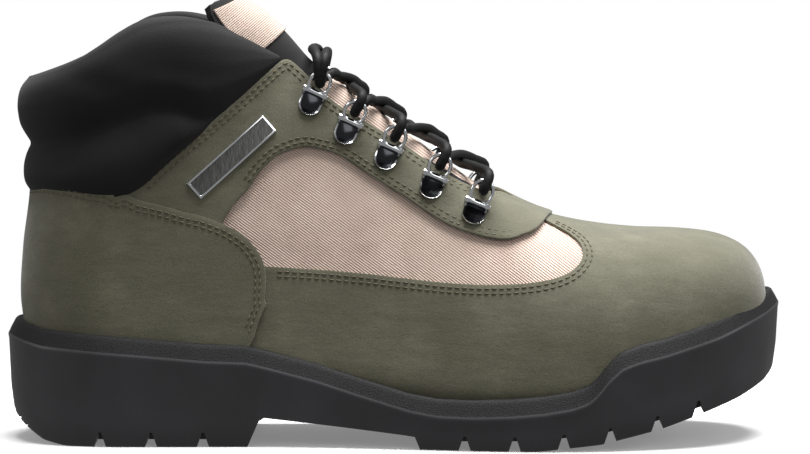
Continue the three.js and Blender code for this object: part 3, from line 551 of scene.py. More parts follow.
# Chrome on pressed steel: a bright hard mirror with fine polishing marks.
def makeChrome(name, shade, roughness):
    material = newMaterial(name)
    place = addNode(material, "ShaderNodeTexCoord").outputs["Object"]
    marks = addNode(material, "ShaderNodeTexNoise", inputs={"Vector": place, "Scale": 700.0, "Detail": 2.0})
    rough = addNode(material, "ShaderNodeMapRange",
        inputs={"Value": marks.outputs["Fac"], "To Min": roughness, "To Max": roughness + 0.08})
    return finishMaterial(material,
        {"Base Color": linearColour(shade), "Metallic": 1.0, "Roughness": rough.outputs["Result"]})


chrome = makeChrome("polished chrome", "#d8dadd", 0.06)
# The ring plates' sunk faces use chrome coloured near black: a painted dark reflection, standing in for the
# dark room a chrome dish would mirror.
chromePaintedDarkReflection = makeChrome("chrome with painted dark reflection", "#3c3d40", 0.12)


# Braided lace: black polyester strands that cross at a slant round the cord.
def makeBraid(name, shade):
    material = newMaterial(name)
    uv = addNode(material, "ShaderNodeUVMap").outputs["UV"]
    twist = addNode(material, "ShaderNodeMapping",
        inputs={"Vector": uv, "Rotation": (0, 0, math.radians(45))})
    strands = addNode(material, "ShaderNodeTexChecker",
        inputs={"Vector": twist.outputs["Vector"], "Scale": 8.0})
    colour = rampNode(material, strands.outputs["Fac"], [(0.0, shade[0]), (1.0, shade[1])])
    bump = addNode(material, "ShaderNodeBump",
        inputs={"Strength": 0.5, "Distance": 0.0003, "Height": strands.outputs["Fac"]})
    return finishMaterial(material,
        {"Base Color": colour, "Roughness": 0.6, "Sheen Weight": 0.0, "Specular IOR Level": 0.18},
        bump.outputs["Normal"])


laceBraid = makeBraid("black braided lace", ["#060606", "#101010"])


# Bonded polyester thread, a shade browner than the leather.
def makeThread(name, shade):
    material = newMaterial(name)
    place = addNode(material, "ShaderNodeTexCoord").outputs["Object"]
    ply = addNode(material, "ShaderNodeTexNoise", inputs={"Vector": place, "Scale": 2500.0})
    colour = rampNode(material, ply.outputs["Fac"], [(0.3, shade[0]), (0.7, shade[1])])
    return finishMaterial(material, {"Base Color": colour, "Roughness": 0.6})


oliveThread = makeThread("olive bonded thread", ["#3f3a29", "#5a533c"])
print("stage: materials")


# Lining.

liningSettings = {"rise": -1.1, "thickness": 0.8, "across": 26, "along": 90}


def makeLining(settings):
    rows = []
    for station in (0.3, 1, 2, 3, 4, 5, 6, 7, 8, 8.8):
        rows.append([(station, halfPi), (station, 0.2), (station, -1.35)])
    for x, half in ((54, 4), (44, 12), (30, 14), (14, 16), (-4, 18), (-20, 20), (-34, 21)):
        top = ridgePlace(x, half)
        rows.append([top, (top[0], 0.1), (top[0], -1.35)])
    for x, z in ((-46, 148), (-56, 139), (-70, 127), (-84, 115)):
        top = sidePlace(x, z)
        rows.append([top, (top[0], (top[1] - 1.4) / 2), (top[0], -1.5 if top[0] < 17 else -halfPi)])
    bm = sheetMesh(rows, settings["across"], settings["along"], settings["rise"])
    piece = linkPiece("lining", bm, [padCloth], ["upper"])
    addThickness(piece, settings["thickness"], 0)
    return piece


makeLining(liningSettings)


# Cloth quarters.

clothSettings = {"rise": 0.1, "thickness": 0.9, "across": 16, "along": 90}
clothRows = [
    (-72, 93, -66, 62), (-60, 107, -50, 63.5), (-50, 117, -40, 63), (-38, 121, -30, 62), (-24, 119, -20, 61),
    (-10, 110, -8, 60), (4, 101, 4, 59), (16, 94, 17, 58), (28, 88, 30, 57.5), (42, 85, 44, 57.5),
    (54, 87, 58, 58), (62, 88, 72, 62), (68, 85.5, 80, 68),
]


def makeCloth(settings):
    rows = []
    for ax, az, bx, bz in clothRows:
        a, b = sidePlace(ax, az), sidePlace(bx, bz)
        rows.append([a, middle(a, b), b])
    bm = sheetMesh(rows, settings["across"], settings["along"], settings["rise"])
    piece = linkPiece("quarter_cloth", bm, [ribCloth], [])
    addThickness(piece, settings["thickness"], 0)
    return piece


makeCloth(clothSettings)


# Vamp: toe, sides and the band under the window, one leather sheet.

vampSettings = {"rise": 1.3, "thickness": 1.2, "bevel": 0.35, "across": 44, "along": 170}
vampRows = [
    [(-60, 70.5), None, (-62, 30)], [(-48, 69.8), None, (-50, 29)], [(-36, 69.1), None, (-38, 27)],
    [(-22, 68.1), None, (-22, 24)], [(-8, 66.9), None, (-8, 20)], [(4.6, 65.5), None, (5, 16.5)],
    [(22.4, 63.8), None, (24, 15)], [(40, 63.4), None, (42, 15)], [(54.1, 64.2), (57, 42), (58, 16)],
    [(64.7, 66.4), (68, 43), (68, 17.5)], [(70.5, 69.6), (76.5, 46.5), (76, 19.5)],
    [(73.2, 73.6), (84, 53), (81, 21)], [(72.4, 77.6), (88, 59), (86, 21.5)],
    [(68.6, 80.9), (92, 65), (91, 21.7)],
    [(63.6, 83.6), (94.5, 68), (96, 21.9)],
]


def vampPlaces():
    rows = []
    for top, mid, low in vampRows:
        a, b = sidePlace(*top), sidePlace(*low)
        rows.append([a, sidePlace(*mid) if mid else middle(a, b), b])
    toe = [(8.95, 1.3, 6.85, 0.72, 6.6), (9.2, 1.43, 6.65, 0.74, 6.4), (9.35, halfPi, 6.45, 0.72, 6.2),
        (8.6, halfPi, 6.1, 0.55, 5.7),
           (7.6, halfPi, 5.65, 0.4, 5.2), (6.5, halfPi, 5.15, 0.25, 4.7), (5.4, halfPi, 4.5, 0.15, 4.1),
           (4.3, halfPi, 3.7, 0.1, 3.4), (3.2, halfPi, 2.8, 0.1, 2.6), (2.1, halfPi, 1.9, 0.05, 1.8),
           (1.2, halfPi, 1.1, 0.05, 1.0), (0.5, halfPi, 0.5, 0.0, 0.4), (0.02, halfPi, 0.02, 0.0, 0.02)]
    for a, turn, m, mTurn, b in toe:
        rows.append([(a, turn), (m, mTurn), (b, -1.0)])
    return rows


def makeVamp(settings):
    bm = sheetMesh(vampPlaces(), settings["across"], settings["along"], settings["rise"])
    piece = linkPiece("vamp", bm, [nubuck], [])
    addThickness(piece, settings["thickness"], settings["bevel"])
    return piece


makeVamp(vampSettings)


# Eyestay.

eyestaySettings = {"rise": 2.2, "frontRise": 2.7, "thickness": 1.4, "bevel": 0.35, "across": 22, "along": 200}
eyestayRows = [
    [(-111, 94.5), (-70, 82)], [(-105, 98.5), (-62.5, 93.5)], [(-98.5, 103), (-57.2, 99.4)],
    [(-92, 108.6), (-52.6, 106)],
    [(-85, 115), (-49.2, 109.6)], [(-77, 121.5), (-46.2, 112.2)], [(-68.6, 128.6), (-43.2, 113.8)],
    [(-60.4, 135.6), (-40.2, 114.9)], [(-53.4, 141.9), (-37.6, 115.6)], [(-48.2, 146.4), (-35.8, 115.9)],
    [(-44.8, 148.9), (-34.4, 116)], [(-42.2, 149.1), (-33.2, 115.9)], [(-39.6, 147.4), (-31.8, 115.7)],
    [(-35.6, 143.8), (-29.6, 115.2)], [(-30, 138.3), (-26.2, 114.3)], [(-24, 132.8), (-22, 112.8)],
    [(-16.5, 127.9), (-17, 110)], [(-8, 122.6), (-11.5, 106.2)], [(1, 117.1), (-4.5, 101.6)],
    [(10, 110.9), (4.6, 96)], [(19, 104.6), (13.5, 90)], [(27.6, 99.8), (22.4, 85)],
    [(35.2, 96.8), (31.1, 81.9)],
    [("throat", 41, 9.2), (37, 80.3)],
    [("throat", 44.2, 6.8), (43, 79.6)], [("throat", 45.8, 4), (48.5, 80.5)],
    [("throat", 46.3, 1.6), (56, 83.4)],
    [("throat", 46.5, 0), ("ridge", 62, 0)],
]


def anyPlace(spec):
    if isinstance(spec[0], str):
        return ridgePlace(spec[1], spec[2])
    return tuple(float(v) for v in sidePlace(*spec))


def eyestayPlaces():
    rows = []
    for a, b in eyestayRows:
        pa, pb = anyPlace(a), anyPlace(b)
        rows.append([pa, middle(pa, pb), pb])
    return rows


def eyestayRise(settings, along):
    u = np.linspace(0, 1, along)
    return np.broadcast_to(np.interp(u, [0, 0.6, 1.0],
        [settings["rise"], settings["rise"], settings["frontRise"]]), (settings["across"], along))


def makeEyestay(settings):
    bm = sheetMesh(eyestayPlaces(), settings["across"], settings["along"],
        eyestayRise(settings, settings["along"]))
    piece = linkPiece("eyestay_leather", bm, [nubuck], ["eyestay"])
    addThickness(piece, settings["thickness"], settings["bevel"])
    return piece


makeEyestay(eyestaySettings)


# Heel counter.

counterSettings = {"rise": 2.9, "thickness": 1.5, "bevel": 0.4, "across": 26, "along": 90}
counterRows = [
    [("back", 100.2), ("back", 46)], [(-139.8, 101.2), (-141.4, 45.6)], [(-135.4, 102), (-137.6, 44.7)],
    [(-130, 102.1), (-132.6, 43.6)], [(-124, 101.4), (-127, 42.5)], [(-118, 100.2), (-121, 41.3)],
    [(-108.9, 98.2), (-111, 40)],
    [(-98, 95.6), (-101, 39.3)], [(-87.5, 92.9), (-90.5, 38.4)], [(-77, 89.9), (-80, 37.3)],
    [(-67.8, 86.8), (-71.8, 36.2)], [(-60.8, 83.2), (-69.8, 36)], [(-55, 78.4), (-67.8, 35.9)],
    [(-51.2, 72.4), (-65.8, 35.7)], [(-49.9, 65.4), (-63.6, 35.6)], [(-50.3, 58), (-61.4, 35.5)],
    [(-51.8, 50.6), (-59.4, 35.3)], [(-54.2, 43), (-57.8, 35.1)],
]


def counterPlaces():
    rows = []
    for row in counterRows:
        a, b = [backPlace(p[1]) if p[0] == "back" else tuple(float(v) for v in sidePlace(*p))
                for p in row[:2]]
        mid = tuple(float(v) for v in sidePlace(*row[2])) if len(row) > 2 else middle(a, b)
        rows.append([a, mid, b])
    return rows


def makeCounter(settings):
    bm = sheetMesh(counterPlaces(), settings["across"], settings["along"], settings["rise"])
    piece = linkPiece("counter_leather", bm, [nubuck], ["heel_counter"])
    addThickness(piece, settings["thickness"], settings["bevel"])
    return piece


makeCounter(counterSettings)
print("stage: leather and cloth")

# Sole: a cup with a grained chamfered band darkened by painted shade, lugs and a toe bumper.

soleSettings = {
    "outline": [
        (-0.5, 0, 0), (-0.488, -0.16, 0.16), (-0.45, -0.285, 0.285), (-0.38, -0.358, 0.352),
        (-0.28, -0.366, 0.358),
        (-0.163, -0.362, 0.34), (-0.059, -0.39, 0.345), (0.033, -0.438, 0.385), (0.111, -0.481, 0.43),
        (0.183, -0.5, 0.477), (0.248, -0.496, 0.497), (0.307, -0.47, 0.497), (0.363, -0.424, 0.475),
        (0.412, -0.354, 0.435), (0.452, -0.255, 0.37), (0.484, -0.11, 0.26), (0.5, 0.08, 0.08)],
    "splits": 9,
    # where a ring is measured from, its height in mm and how far it is inset
    "steps": [
        ("tread", 0.0, 3.2), ("tread", 0.5, 2.5), ("tread", 1.6, 2.1), ("tread", 5.6, 1.5),
        ("tread", 9.5, 1.0),
        ("top", -8.6, 0.25), ("top", -7.5, 0.0), ("top", -6.9, 0.08), ("top", -6.3, 0.4), ("top", -4.4, 1.2),
        ("top", -2.0, 2.35), ("top", -0.9, 2.9), ("top", -0.2, 3.6), ("top", 0.0, 4.4), ("top", -0.25, 5.2)],
    "grainedShadeFrom": 8,
    "fields": [
        {"notches": [-0.374, -0.309, -0.243], "channel": 0.14},
        {"notches": [0.089, 0.152, 0.214, 0.273, 0.333, 0.386], "channel": 0.2}],
    "notchWidth": 5.0, "notchHeight": 5.8, "channelWidth": 4.0,
    # notches across the heel's bevel that leave its ribs, and their depth and half width in mm
    "heelNotches": [(-150.4, 11.4), (-147.4, 8.8), (-144.5, 6.2)], "ribDepth": 0.9, "ribHalf": 0.8,
    "waist": [(-57.6, -1), (10.5, -1), (8.0, 5.1), (4.5, 5.6), (-20, 8.3), (-50.5, 11.6), (-52.6, 10.4)],
}


def closedCurve(points, splits):
    points = np.asarray(points, float)
    ahead, behind = np.roll(points, -1, axis=0), np.roll(points, 1, axis=0)
    further = np.roll(points, -2, axis=0)
    out = []
    for k in range(splits):
        f = k / splits
        f2, f3 = f * f, f * f * f
        out.append((2 * f3 - 3 * f2 + 1) * points + (f3 - 2 * f2 + f) * (ahead - behind) / 2
                   + (3 * f2 - 2 * f3) * ahead + (f3 - f2) * (further - points) / 2)
    return np.stack(out, axis=1).reshape(-1, points.shape[1])


def soleRings(settings):
    rows = settings["outline"]
    points = [(x, outer) for x, outer, inner in rows] + [(x, inner) for x, outer, inner in rows[1:-1][::-1]]
    plan = closedCurve(points, settings["splits"]) * [lastSizes["soleLength"], lastSizes["ballWidth"]]
    along = np.roll(plan, -1, axis=0) - np.roll(plan, 1, axis=0)
    along /= np.linalg.norm(along, axis=1, keepdims=True)
    inward = np.stack([-along[:, 1], along[:, 0]], axis=1)
    rings = []
    for line, height, inset in settings["steps"]:
        ring = plan + inward * inset
        rings.append(np.column_stack([ring, soleHeight(line, ring[:, 0]) + height]))
    return np.array(rings)


def cutterObject(bm, name):
    mesh = bpy.data.meshes.new(name)
    bmesh.ops.recalc_face_normals(bm, faces=bm.faces)
    bm.to_mesh(mesh)
    bm.free()
    cutter = bpy.data.objects.new(name, mesh)
    bpy.context.scene.collection.objects.link(cutter)
    return cutter


# A closed form through rings of points, with its two ends filled.
def loftBlock(bm, rings, cyclicFill=True):
    layers = []
    for ring in rings:
        layers.append([bm.verts.new(Vector(p) * mm) for p in ring])
    for a, b in zip(layers, layers[1:]):
        for i in range(len(a)):
            j = (i + 1) % len(a)
            bm.faces.new((a[i], a[j], b[j], b[i]))
    if cyclicFill:
        bm.faces.new(layers[0][::-1])
        bm.faces.new(layers[-1])
    return layers


def sideBlock(bm, outline, fromY, toY):
    loftBlock(bm, [[(x, y, z) for x, z in outline] for y in (fromY, toY)])


def treadBar(bm, fromX, toX, fromY, toY, depth):
    xs = np.linspace(fromX, toX, 9)
    zs = soleHeight("tread", xs)
    loftBlock(bm, [[(x, fromY, z - 4), (x, toY, z - 4), (x, toY, z + depth), (x, fromY, z + depth)]
                   for x, z in zip(xs, zs)])


def soleCutters(settings):
    groups = {"sideNotches": bmesh.new(), "longChannels": bmesh.new(), "crossChannels": bmesh.new(),
              "waist": bmesh.new(), "heelRibs": bmesh.new()}
    sideBlock(groups["waist"], settings["waist"], -80, 80)
    down, along = np.array([-0.67, -0.74]), np.array([0.74, -0.67])
    for place in settings["heelNotches"]:
        inner = place - down * settings["ribDepth"]
        outer = place + down * 1.5
        reach = along * settings["ribHalf"]
        sideBlock(groups["heelRibs"], [outer - reach * 1.6, inner - reach * 0.2, inner + reach * 0.2,
            outer + reach * 1.6], -80, 80)
    half = settings["channelWidth"] / 2
    height = settings["notchHeight"]
    for field in settings["fields"]:
        places = [share * lastSizes["soleLength"] for share in field["notches"]]
        channelY = field["channel"] * lastSizes["ballWidth"]
        for x in places:
            z = float(soleHeight("tread", x))
            w = settings["notchWidth"] / 2
            shape = [(x - w * 1.25, z - 2.5), (x + w * 1.25, z - 2.5), (x + w * 0.95, z),
                (x + w * 0.2, z + height), (x - w * 0.2, z + height), (x - w * 0.95, z)]
            for side in (-1, 1):
                ends = sorted((side * 80, side * channelY))
                sideBlock(groups["sideNotches"], shape, ends[0], ends[1])
        for side in (-1, 1):
            y = side * channelY
            treadBar(groups["longChannels"], places[0] - 5, places[-1] + 2.5, y - half, y + half,
                height * 0.9)
        for a, b in zip(places, places[1:]):
            mid = (a + b) / 2
            treadBar(groups["crossChannels"], mid - half, mid + half, -channelY, channelY, height * 0.8)
    return [cutterObject(bm, name) for name, bm in groups.items()]


def lastBlock(rise):
    bm = bmesh.new()
    stations = np.concatenate([[0.01, 0.25], np.linspace(0.5, 17.5, 60)])
    turns = np.linspace(-halfPi, halfPi, 33)
    rings = []
    for station in stations:
        left = surfacePoints(np.full(33, station), turns, -1, rise)
        right = surfacePoints(np.full(31, station), turns[1:-1][::-1], 1, rise)
        rings.append(np.concatenate([left, right]))
    loftBlock(bm, rings)
    return cutterObject(bm, "footRoom")


def applyCutters(piece, cutters):
    for cutter in cutters:
        cut = piece.modifiers.new(cutter.name, "BOOLEAN")
        cut.operation = "DIFFERENCE"
        cut.solver = "MANIFOLD"
        cut.object = cutter
    graph = bpy.context.evaluated_depsgraph_get()
    mesh = bpy.data.meshes.new_from_object(piece.evaluated_get(graph))
    piece.modifiers.clear()
    old = piece.data
    piece.data = mesh
    bpy.data.meshes.remove(old)
    for cutter in cutters:
        bpy.data.objects.remove(cutter)
    return mesh


def makeSole(settings):
    rings = soleRings(settings)
    bm = bmesh.new()
    layers = loftBlock(bm, rings, cyclicFill=False)
    count = len(layers[0])
    half = count // 2
    for layer, flip in ((layers[0], True), (layers[-1], False)):
        for i in range(half):
            a, b = layer[i], layer[i + 1]
            c, d = layer[(count - i - 1) % count], layer[(count - i) % count]
            corners = list(dict.fromkeys([a, b, c, d]))
            bm.faces.new(corners[::-1] if flip else corners)
    bm.faces.ensure_lookup_table()
    # From the band's first ring up the faces take the grained rubber, whose dark colour is painted shade.
    for k in range(settings["grainedShadeFrom"], len(rings) - 1):
        for f in bm.faces[k * count:(k + 1) * count]:
            f.material_index = 1
    bmesh.ops.recalc_face_normals(bm, faces=bm.faces)
    piece = linkPiece("cup_sole", bm, [plainRubber, grainedRubberPaintedShade], ["sole"], 30)
    mesh = applyCutters(piece, [lastBlock(1.35)] + soleCutters(settings))
    for polygon in mesh.polygons:
        polygon.use_smooth = True
    mesh.set_sharp_from_angle(angle=math.radians(32))
    return piece


makeSole(soleSettings)
print("stage: sole")


# Padded collar.

collarSettings = {"around": 150, "outer": 40, "rim": 8, "inner": 14}
# The seam under the padding, its top edge, and how far up the crease between the two rolls lies.
collarSeam = [(-103.5, 98.2), (-97, 102), (-90, 108.6), (-83, 115), (-75, 121.5), (-66.6, 128.6),
    (-58.4, 135.6), (-50, 143.2), (-45, 148.2)]
collarTop = [(-135.4, 144.2), (-123, 149.6), (-114.6, 154.6), (-106.3, 160.2), (-98, 164.6), (-89.7, 166.3),
    (-81.4, 166.3), (-72.9, 164.6), (-67.9, 162.6), (-57, 157.6), (-50.5, 153.8), (-46, 151.2)]
collarCrease = {"share": [0, 0.12, 0.3, 0.45, 0.55, 0.66, 0.74, 1],
    "up": [0.42, 0.43, 0.5, 0.45, 0.33, 0.12, 0.04, 0.0]}
collarFolds = [
    {"from": (-128, 146), "to": (-100, 137), "depth": -0.7, "width": 5},
    {"from": (-112, 140), "to": (-84, 139), "depth": 0.6, "width": 7},
    {"from": (-96, 150), "to": (-66, 143), "depth": -0.6, "width": 6},
    {"from": (-136, 106), "to": (-120, 112), "depth": -0.5, "width": 4},
    {"from": (-118, 108), "to": (-98, 117), "depth": 0.5, "width": 6},
]


def smoothPath(points, count):
    points = np.asarray(points, float)
    at = np.linspace(0, len(points) - 1, 400)
    fine = np.column_stack([smoothValue(points[:, k], at) for k in range(points.shape[1])])
    length = np.concatenate([[0], np.cumsum(np.linalg.norm(np.diff(fine, axis=0), axis=1))])
    target = np.linspace(0, length[-1], count)
    return np.column_stack([np.interp(target, length, fine[:, k]) for k in range(fine.shape[1])])


def alongPath(path, share):
    at = np.linspace(0, 1, len(path))
    return np.array([np.interp(share, at, path[:, k]) for k in (0, 1)])


def collarRow(share):
    seam = smoothPath([(heelX(98), 98), (-134, 98.5), (-122, 97.8), (-111, 97)] + collarSeam, 200)
    top = smoothPath([(heelX(142.5), 142.5)] + collarTop, 200)
    return alongPath(seam, share), alongPath(top, share)


def collarProfile(settings, share):
    crease = np.interp(share, collarCrease["share"], collarCrease["up"])
    up = np.linspace(0, 1, settings["outer"])
    lowerShare = np.clip(up / max(crease, 1e-3), 0, 1)
    upperShare = np.clip((up - crease) / (1 - crease), 0, 1)
    lowAmount = min(1.0, crease / 0.3)
    lower = 1.4 + 4.2 * lowAmount * np.sin(np.pi * lowerShare ** 0.8) ** 0.6
    upper = np.interp(upperShare, [0, 0.1, 0.3, 0.55, 0.75, 0.9, 1.0], [1.6, 4.0, 6.8, 7.7, 7.2, 5.6, 2.6])
    rise = np.where(up < crease, lower, upper)
    blur = np.convolve(np.pad(rise, 2, mode="edge"), [0.1, 0.2, 0.4, 0.2, 0.1], "valid")
    rimAngle = np.linspace(0, 1, settings["rim"] + 2)[1:-1]
    rimUp = 1 + 0.018 * np.sin(np.pi * rimAngle)
    rimRise = 2.6 - 5.6 * rimAngle
    innerUp = np.linspace(0.985, 0.0, settings["inner"])
    innerRise = np.interp(innerUp, [0, 0.3, 0.7, 1.0], [-2.2, -3.6, -3.9, -3.2])
    return np.concatenate([up, rimUp, innerUp]), np.concatenate([blur, rimRise, innerRise])


def makeCollar(settings):
    rows, normals = [], []
    folds = softCreases(collarFolds)
    for around in np.linspace(-1, 1, settings["around"] + 1):
        side = -1 if around < 0 else 1
        share = abs(around) ** 1.2
        seam, top = collarRow(share)
        up, rise = collarProfile(settings, share)
        thin = 1 - 0.7 * np.clip((share - 0.6) / 0.4, 0, 1) ** 1.5
        x = seam[0] + (top[0] - seam[0]) * up
        z = seam[1] + (top[1] - seam[1]) * up
        station, turn = sidePlace(x, z)
        blend = np.clip(1 - abs(around) / 0.1, 0, 1) ** 2
        turn = turn * (1 - blend) - halfPi * blend
        points = surfacePoints(station, turn, side, 0.0)
        extra = np.where(rise > 0, folds(points), 0.0)
        rows.append(surfacePoints(station, turn, side, rise * thin + extra))
        normals.append(lastNormals(station, turn, np.full(turn.shape, side)))
    points, outward = np.array(rows), np.array(normals)
    points[settings["around"] // 2, :, 1] = 0.0
    bm = bmesh.new()
    bendGrid(bm, points[:, :settings["outer"]], outward[:, :settings["outer"]])
    bendGrid(bm, points[:, settings["outer"] - 1:])
    bmesh.ops.remove_doubles(bm, verts=bm.verts, dist=0.00012)
    bmesh.ops.recalc_face_normals(bm, faces=bm.faces)
    piece = linkPiece("padded_collar", bm, [padCloth], ["collar"], 80)
    return piece


makeCollar(collarSettings)


# Tongue, its webbing band and the insole.

tongueSettings = {"along": 90, "across": 24, "thickness": 5.0}
tongueRows = {"station": [8.9, 9.8, 11, 12.5, 14.5, 16.5, 18.5, 19.9, 21, 21.55],
              "half": [9, 14, 18.5, 21.5, 23.5, 23.5, 23.5, 23.5, 23, 22],
              "rise": [-1.6, -1.6, -1.6, -1.6, -1.6, -0.9, 2.0, 3.0, 3.0, 2.6]}
tongueFolds = [
    {"from": (-46, 158), "to": (-36, 146), "depth": -0.8, "width": 3},
    {"from": (-20, 134), "to": (-10, 126), "depth": -0.7, "width": 3},
    {"from": (6, 116), "to": (16, 108), "depth": -0.6, "width": 3},
]


def acrossPlaces(station, halves):
    turns = np.linspace(0.0, halfPi, 260)
    y = np.abs(lastPoints(np.full(260, station), turns, -1)[:, 1]
                - smoothValue(lastTable["centreY"], station))
    return np.interp(-np.abs(halves), -y, turns)


def tongueGrid(settings, stations, halves, rise):
    points, outward = [], []
    folds = softCreases(tongueFolds)
    for station, half, top in zip(stations, halves, rise):
        ys = half * np.sin(np.linspace(-halfPi, halfPi, settings["across"]))
        turn = acrossPlaces(station, ys)
        side = np.where(ys < 0, -1, 1)
        base = lastPoints(np.full(len(ys), station), turn, side)
        crown = top - 1.6 * (np.abs(ys) / half) ** 4
        normal = lastNormals(np.full(len(ys), station), turn, side)
        points.append(base + normal * (crown + folds(base))[:, None])
        outward.append(normal)
    return np.array(points), np.array(outward)


def makeTongue(settings):
    at = np.linspace(0, len(tongueRows["station"]) - 1, settings["along"])
    stations = smoothValue(tongueRows["station"], at)
    halves = smoothValue(tongueRows["half"], at)
    points, outward = tongueGrid(settings, stations, halves, smoothValue(tongueRows["rise"], at))
    bm = bmesh.new()
    bendGrid(bm, points, outward)
    bm.faces.ensure_lookup_table()
    for f in bm.faces:
        centre = f.calc_center_median() / mm
        f.material_index = 1 if centre.x < -31.5 else 0
    piece = linkPiece("padded_tongue", bm, [ribCloth, padCloth], ["tongue"], 70)
    addThickness(piece, settings["thickness"], 1.1)
    return piece


bandSettings = {"across": 20, "along": 24, "from": 18.45, "to": 21.3, "half": 22.0, "rise": 1.0,
    "thickness": 1.1}


def makeBand(settings):
    stations = np.linspace(settings["from"], settings["to"], settings["along"])
    tongueTop = np.interp(stations, tongueRows["station"], tongueRows["rise"])
    points, outward = tongueGrid(settings, stations, np.full(settings["along"], settings["half"]),
        tongueTop + settings["rise"])
    bm = bmesh.new()
    bendGrid(bm, points, outward)
    piece = linkPiece("webbing_band", bm, [webbing], ["pull_tab"], 60)
    addThickness(piece, settings["thickness"], 0.3)
    return piece


webbing = makeRibCloth("woven webbing", ["#a08d80", "#b5a397", "#c4b5aa"], 0.8, 40)
makeTongue(tongueSettings)
makeBand(bandSettings)


insoleSettings = {"rise": -2.6, "across": 25, "along": 80, "lift": 5.0, "thickness": 4.0}


def makeInsole(settings):
    stations = np.linspace(0.8, 15.9, settings["along"])
    low = surfacePoints(stations, np.full(len(stations), -halfPi), -1, -2.5)
    points = []
    for k, station in enumerate(stations):
        height = low[k, 2] + settings["lift"]
        turns = np.linspace(-halfPi, 0.6, 200)
        row = []
        for side in (-1, 1):
            wall = surfacePoints(np.full(200, station), turns, side, settings["rise"])
            pick = np.interp(height, wall[:, 2], np.arange(200))
            row.append(np.array([np.interp(pick, np.arange(200), wall[:, c]) for c in range(3)]))
        t = np.linspace(0, 1, settings["across"])[:, None]
        line = row[0] * (1 - t) + row[1] * t
        line[:, 2] += 1.2 * np.abs(2 * t[:, 0] - 1) ** 6
        points.append(line)
    points = np.array(points)
    bm = bmesh.new()
    bendGrid(bm, points, np.tile([0, 0, 1.0], (points.shape[0], points.shape[1], 1)))
    piece = linkPiece("footbed", bm, [footbedCloth], ["insole"], 60)
    addThickness(piece, settings["thickness"], 0)
    return piece


makeInsole(insoleSettings)
print("stage: collar, tongue and footbed")


# Lace rings.

ringSettings = {
    "bars": [(-31.8, 135.5), (-17.9, 124.2), (-2.3, 114.1), (15.1, 102.4), (31.4, 91.8)],
    "plateWidth": 9.0, "plateLength": 9.3, "plateThickness": 1.0, "rim": 0.75, "barRadius": 1.3, "wire": 0.8,
    "ringRadius": 4.5, "tilt": 52.0, "turn": 11.0, "rise": 2.3,
}
throatSlope = Vector((0.293 * 306, 0.0, -0.39 * 168))


def surfaceFrame(x, z, side, rise, turn):
    station, angle = (float(v) for v in sidePlace(x, z))
    out = Vector(lastNormals(np.array(station), np.array(angle), np.array(side)))
    point = Vector(surfacePoints(np.array(station), np.array(angle), side, rise))
    forward = (throatSlope - out * throatSlope.dot(out)).normalized()
    forward.rotate(Matrix.Rotation(-side * math.radians(turn), 3, out))
    up = out.cross(forward)
    if up.z < 0:
        up = -up
    right = up.cross(out)
    matrix = Matrix((right, up, out)).transposed().to_4x4()
    matrix.translation = point * mm
    return matrix


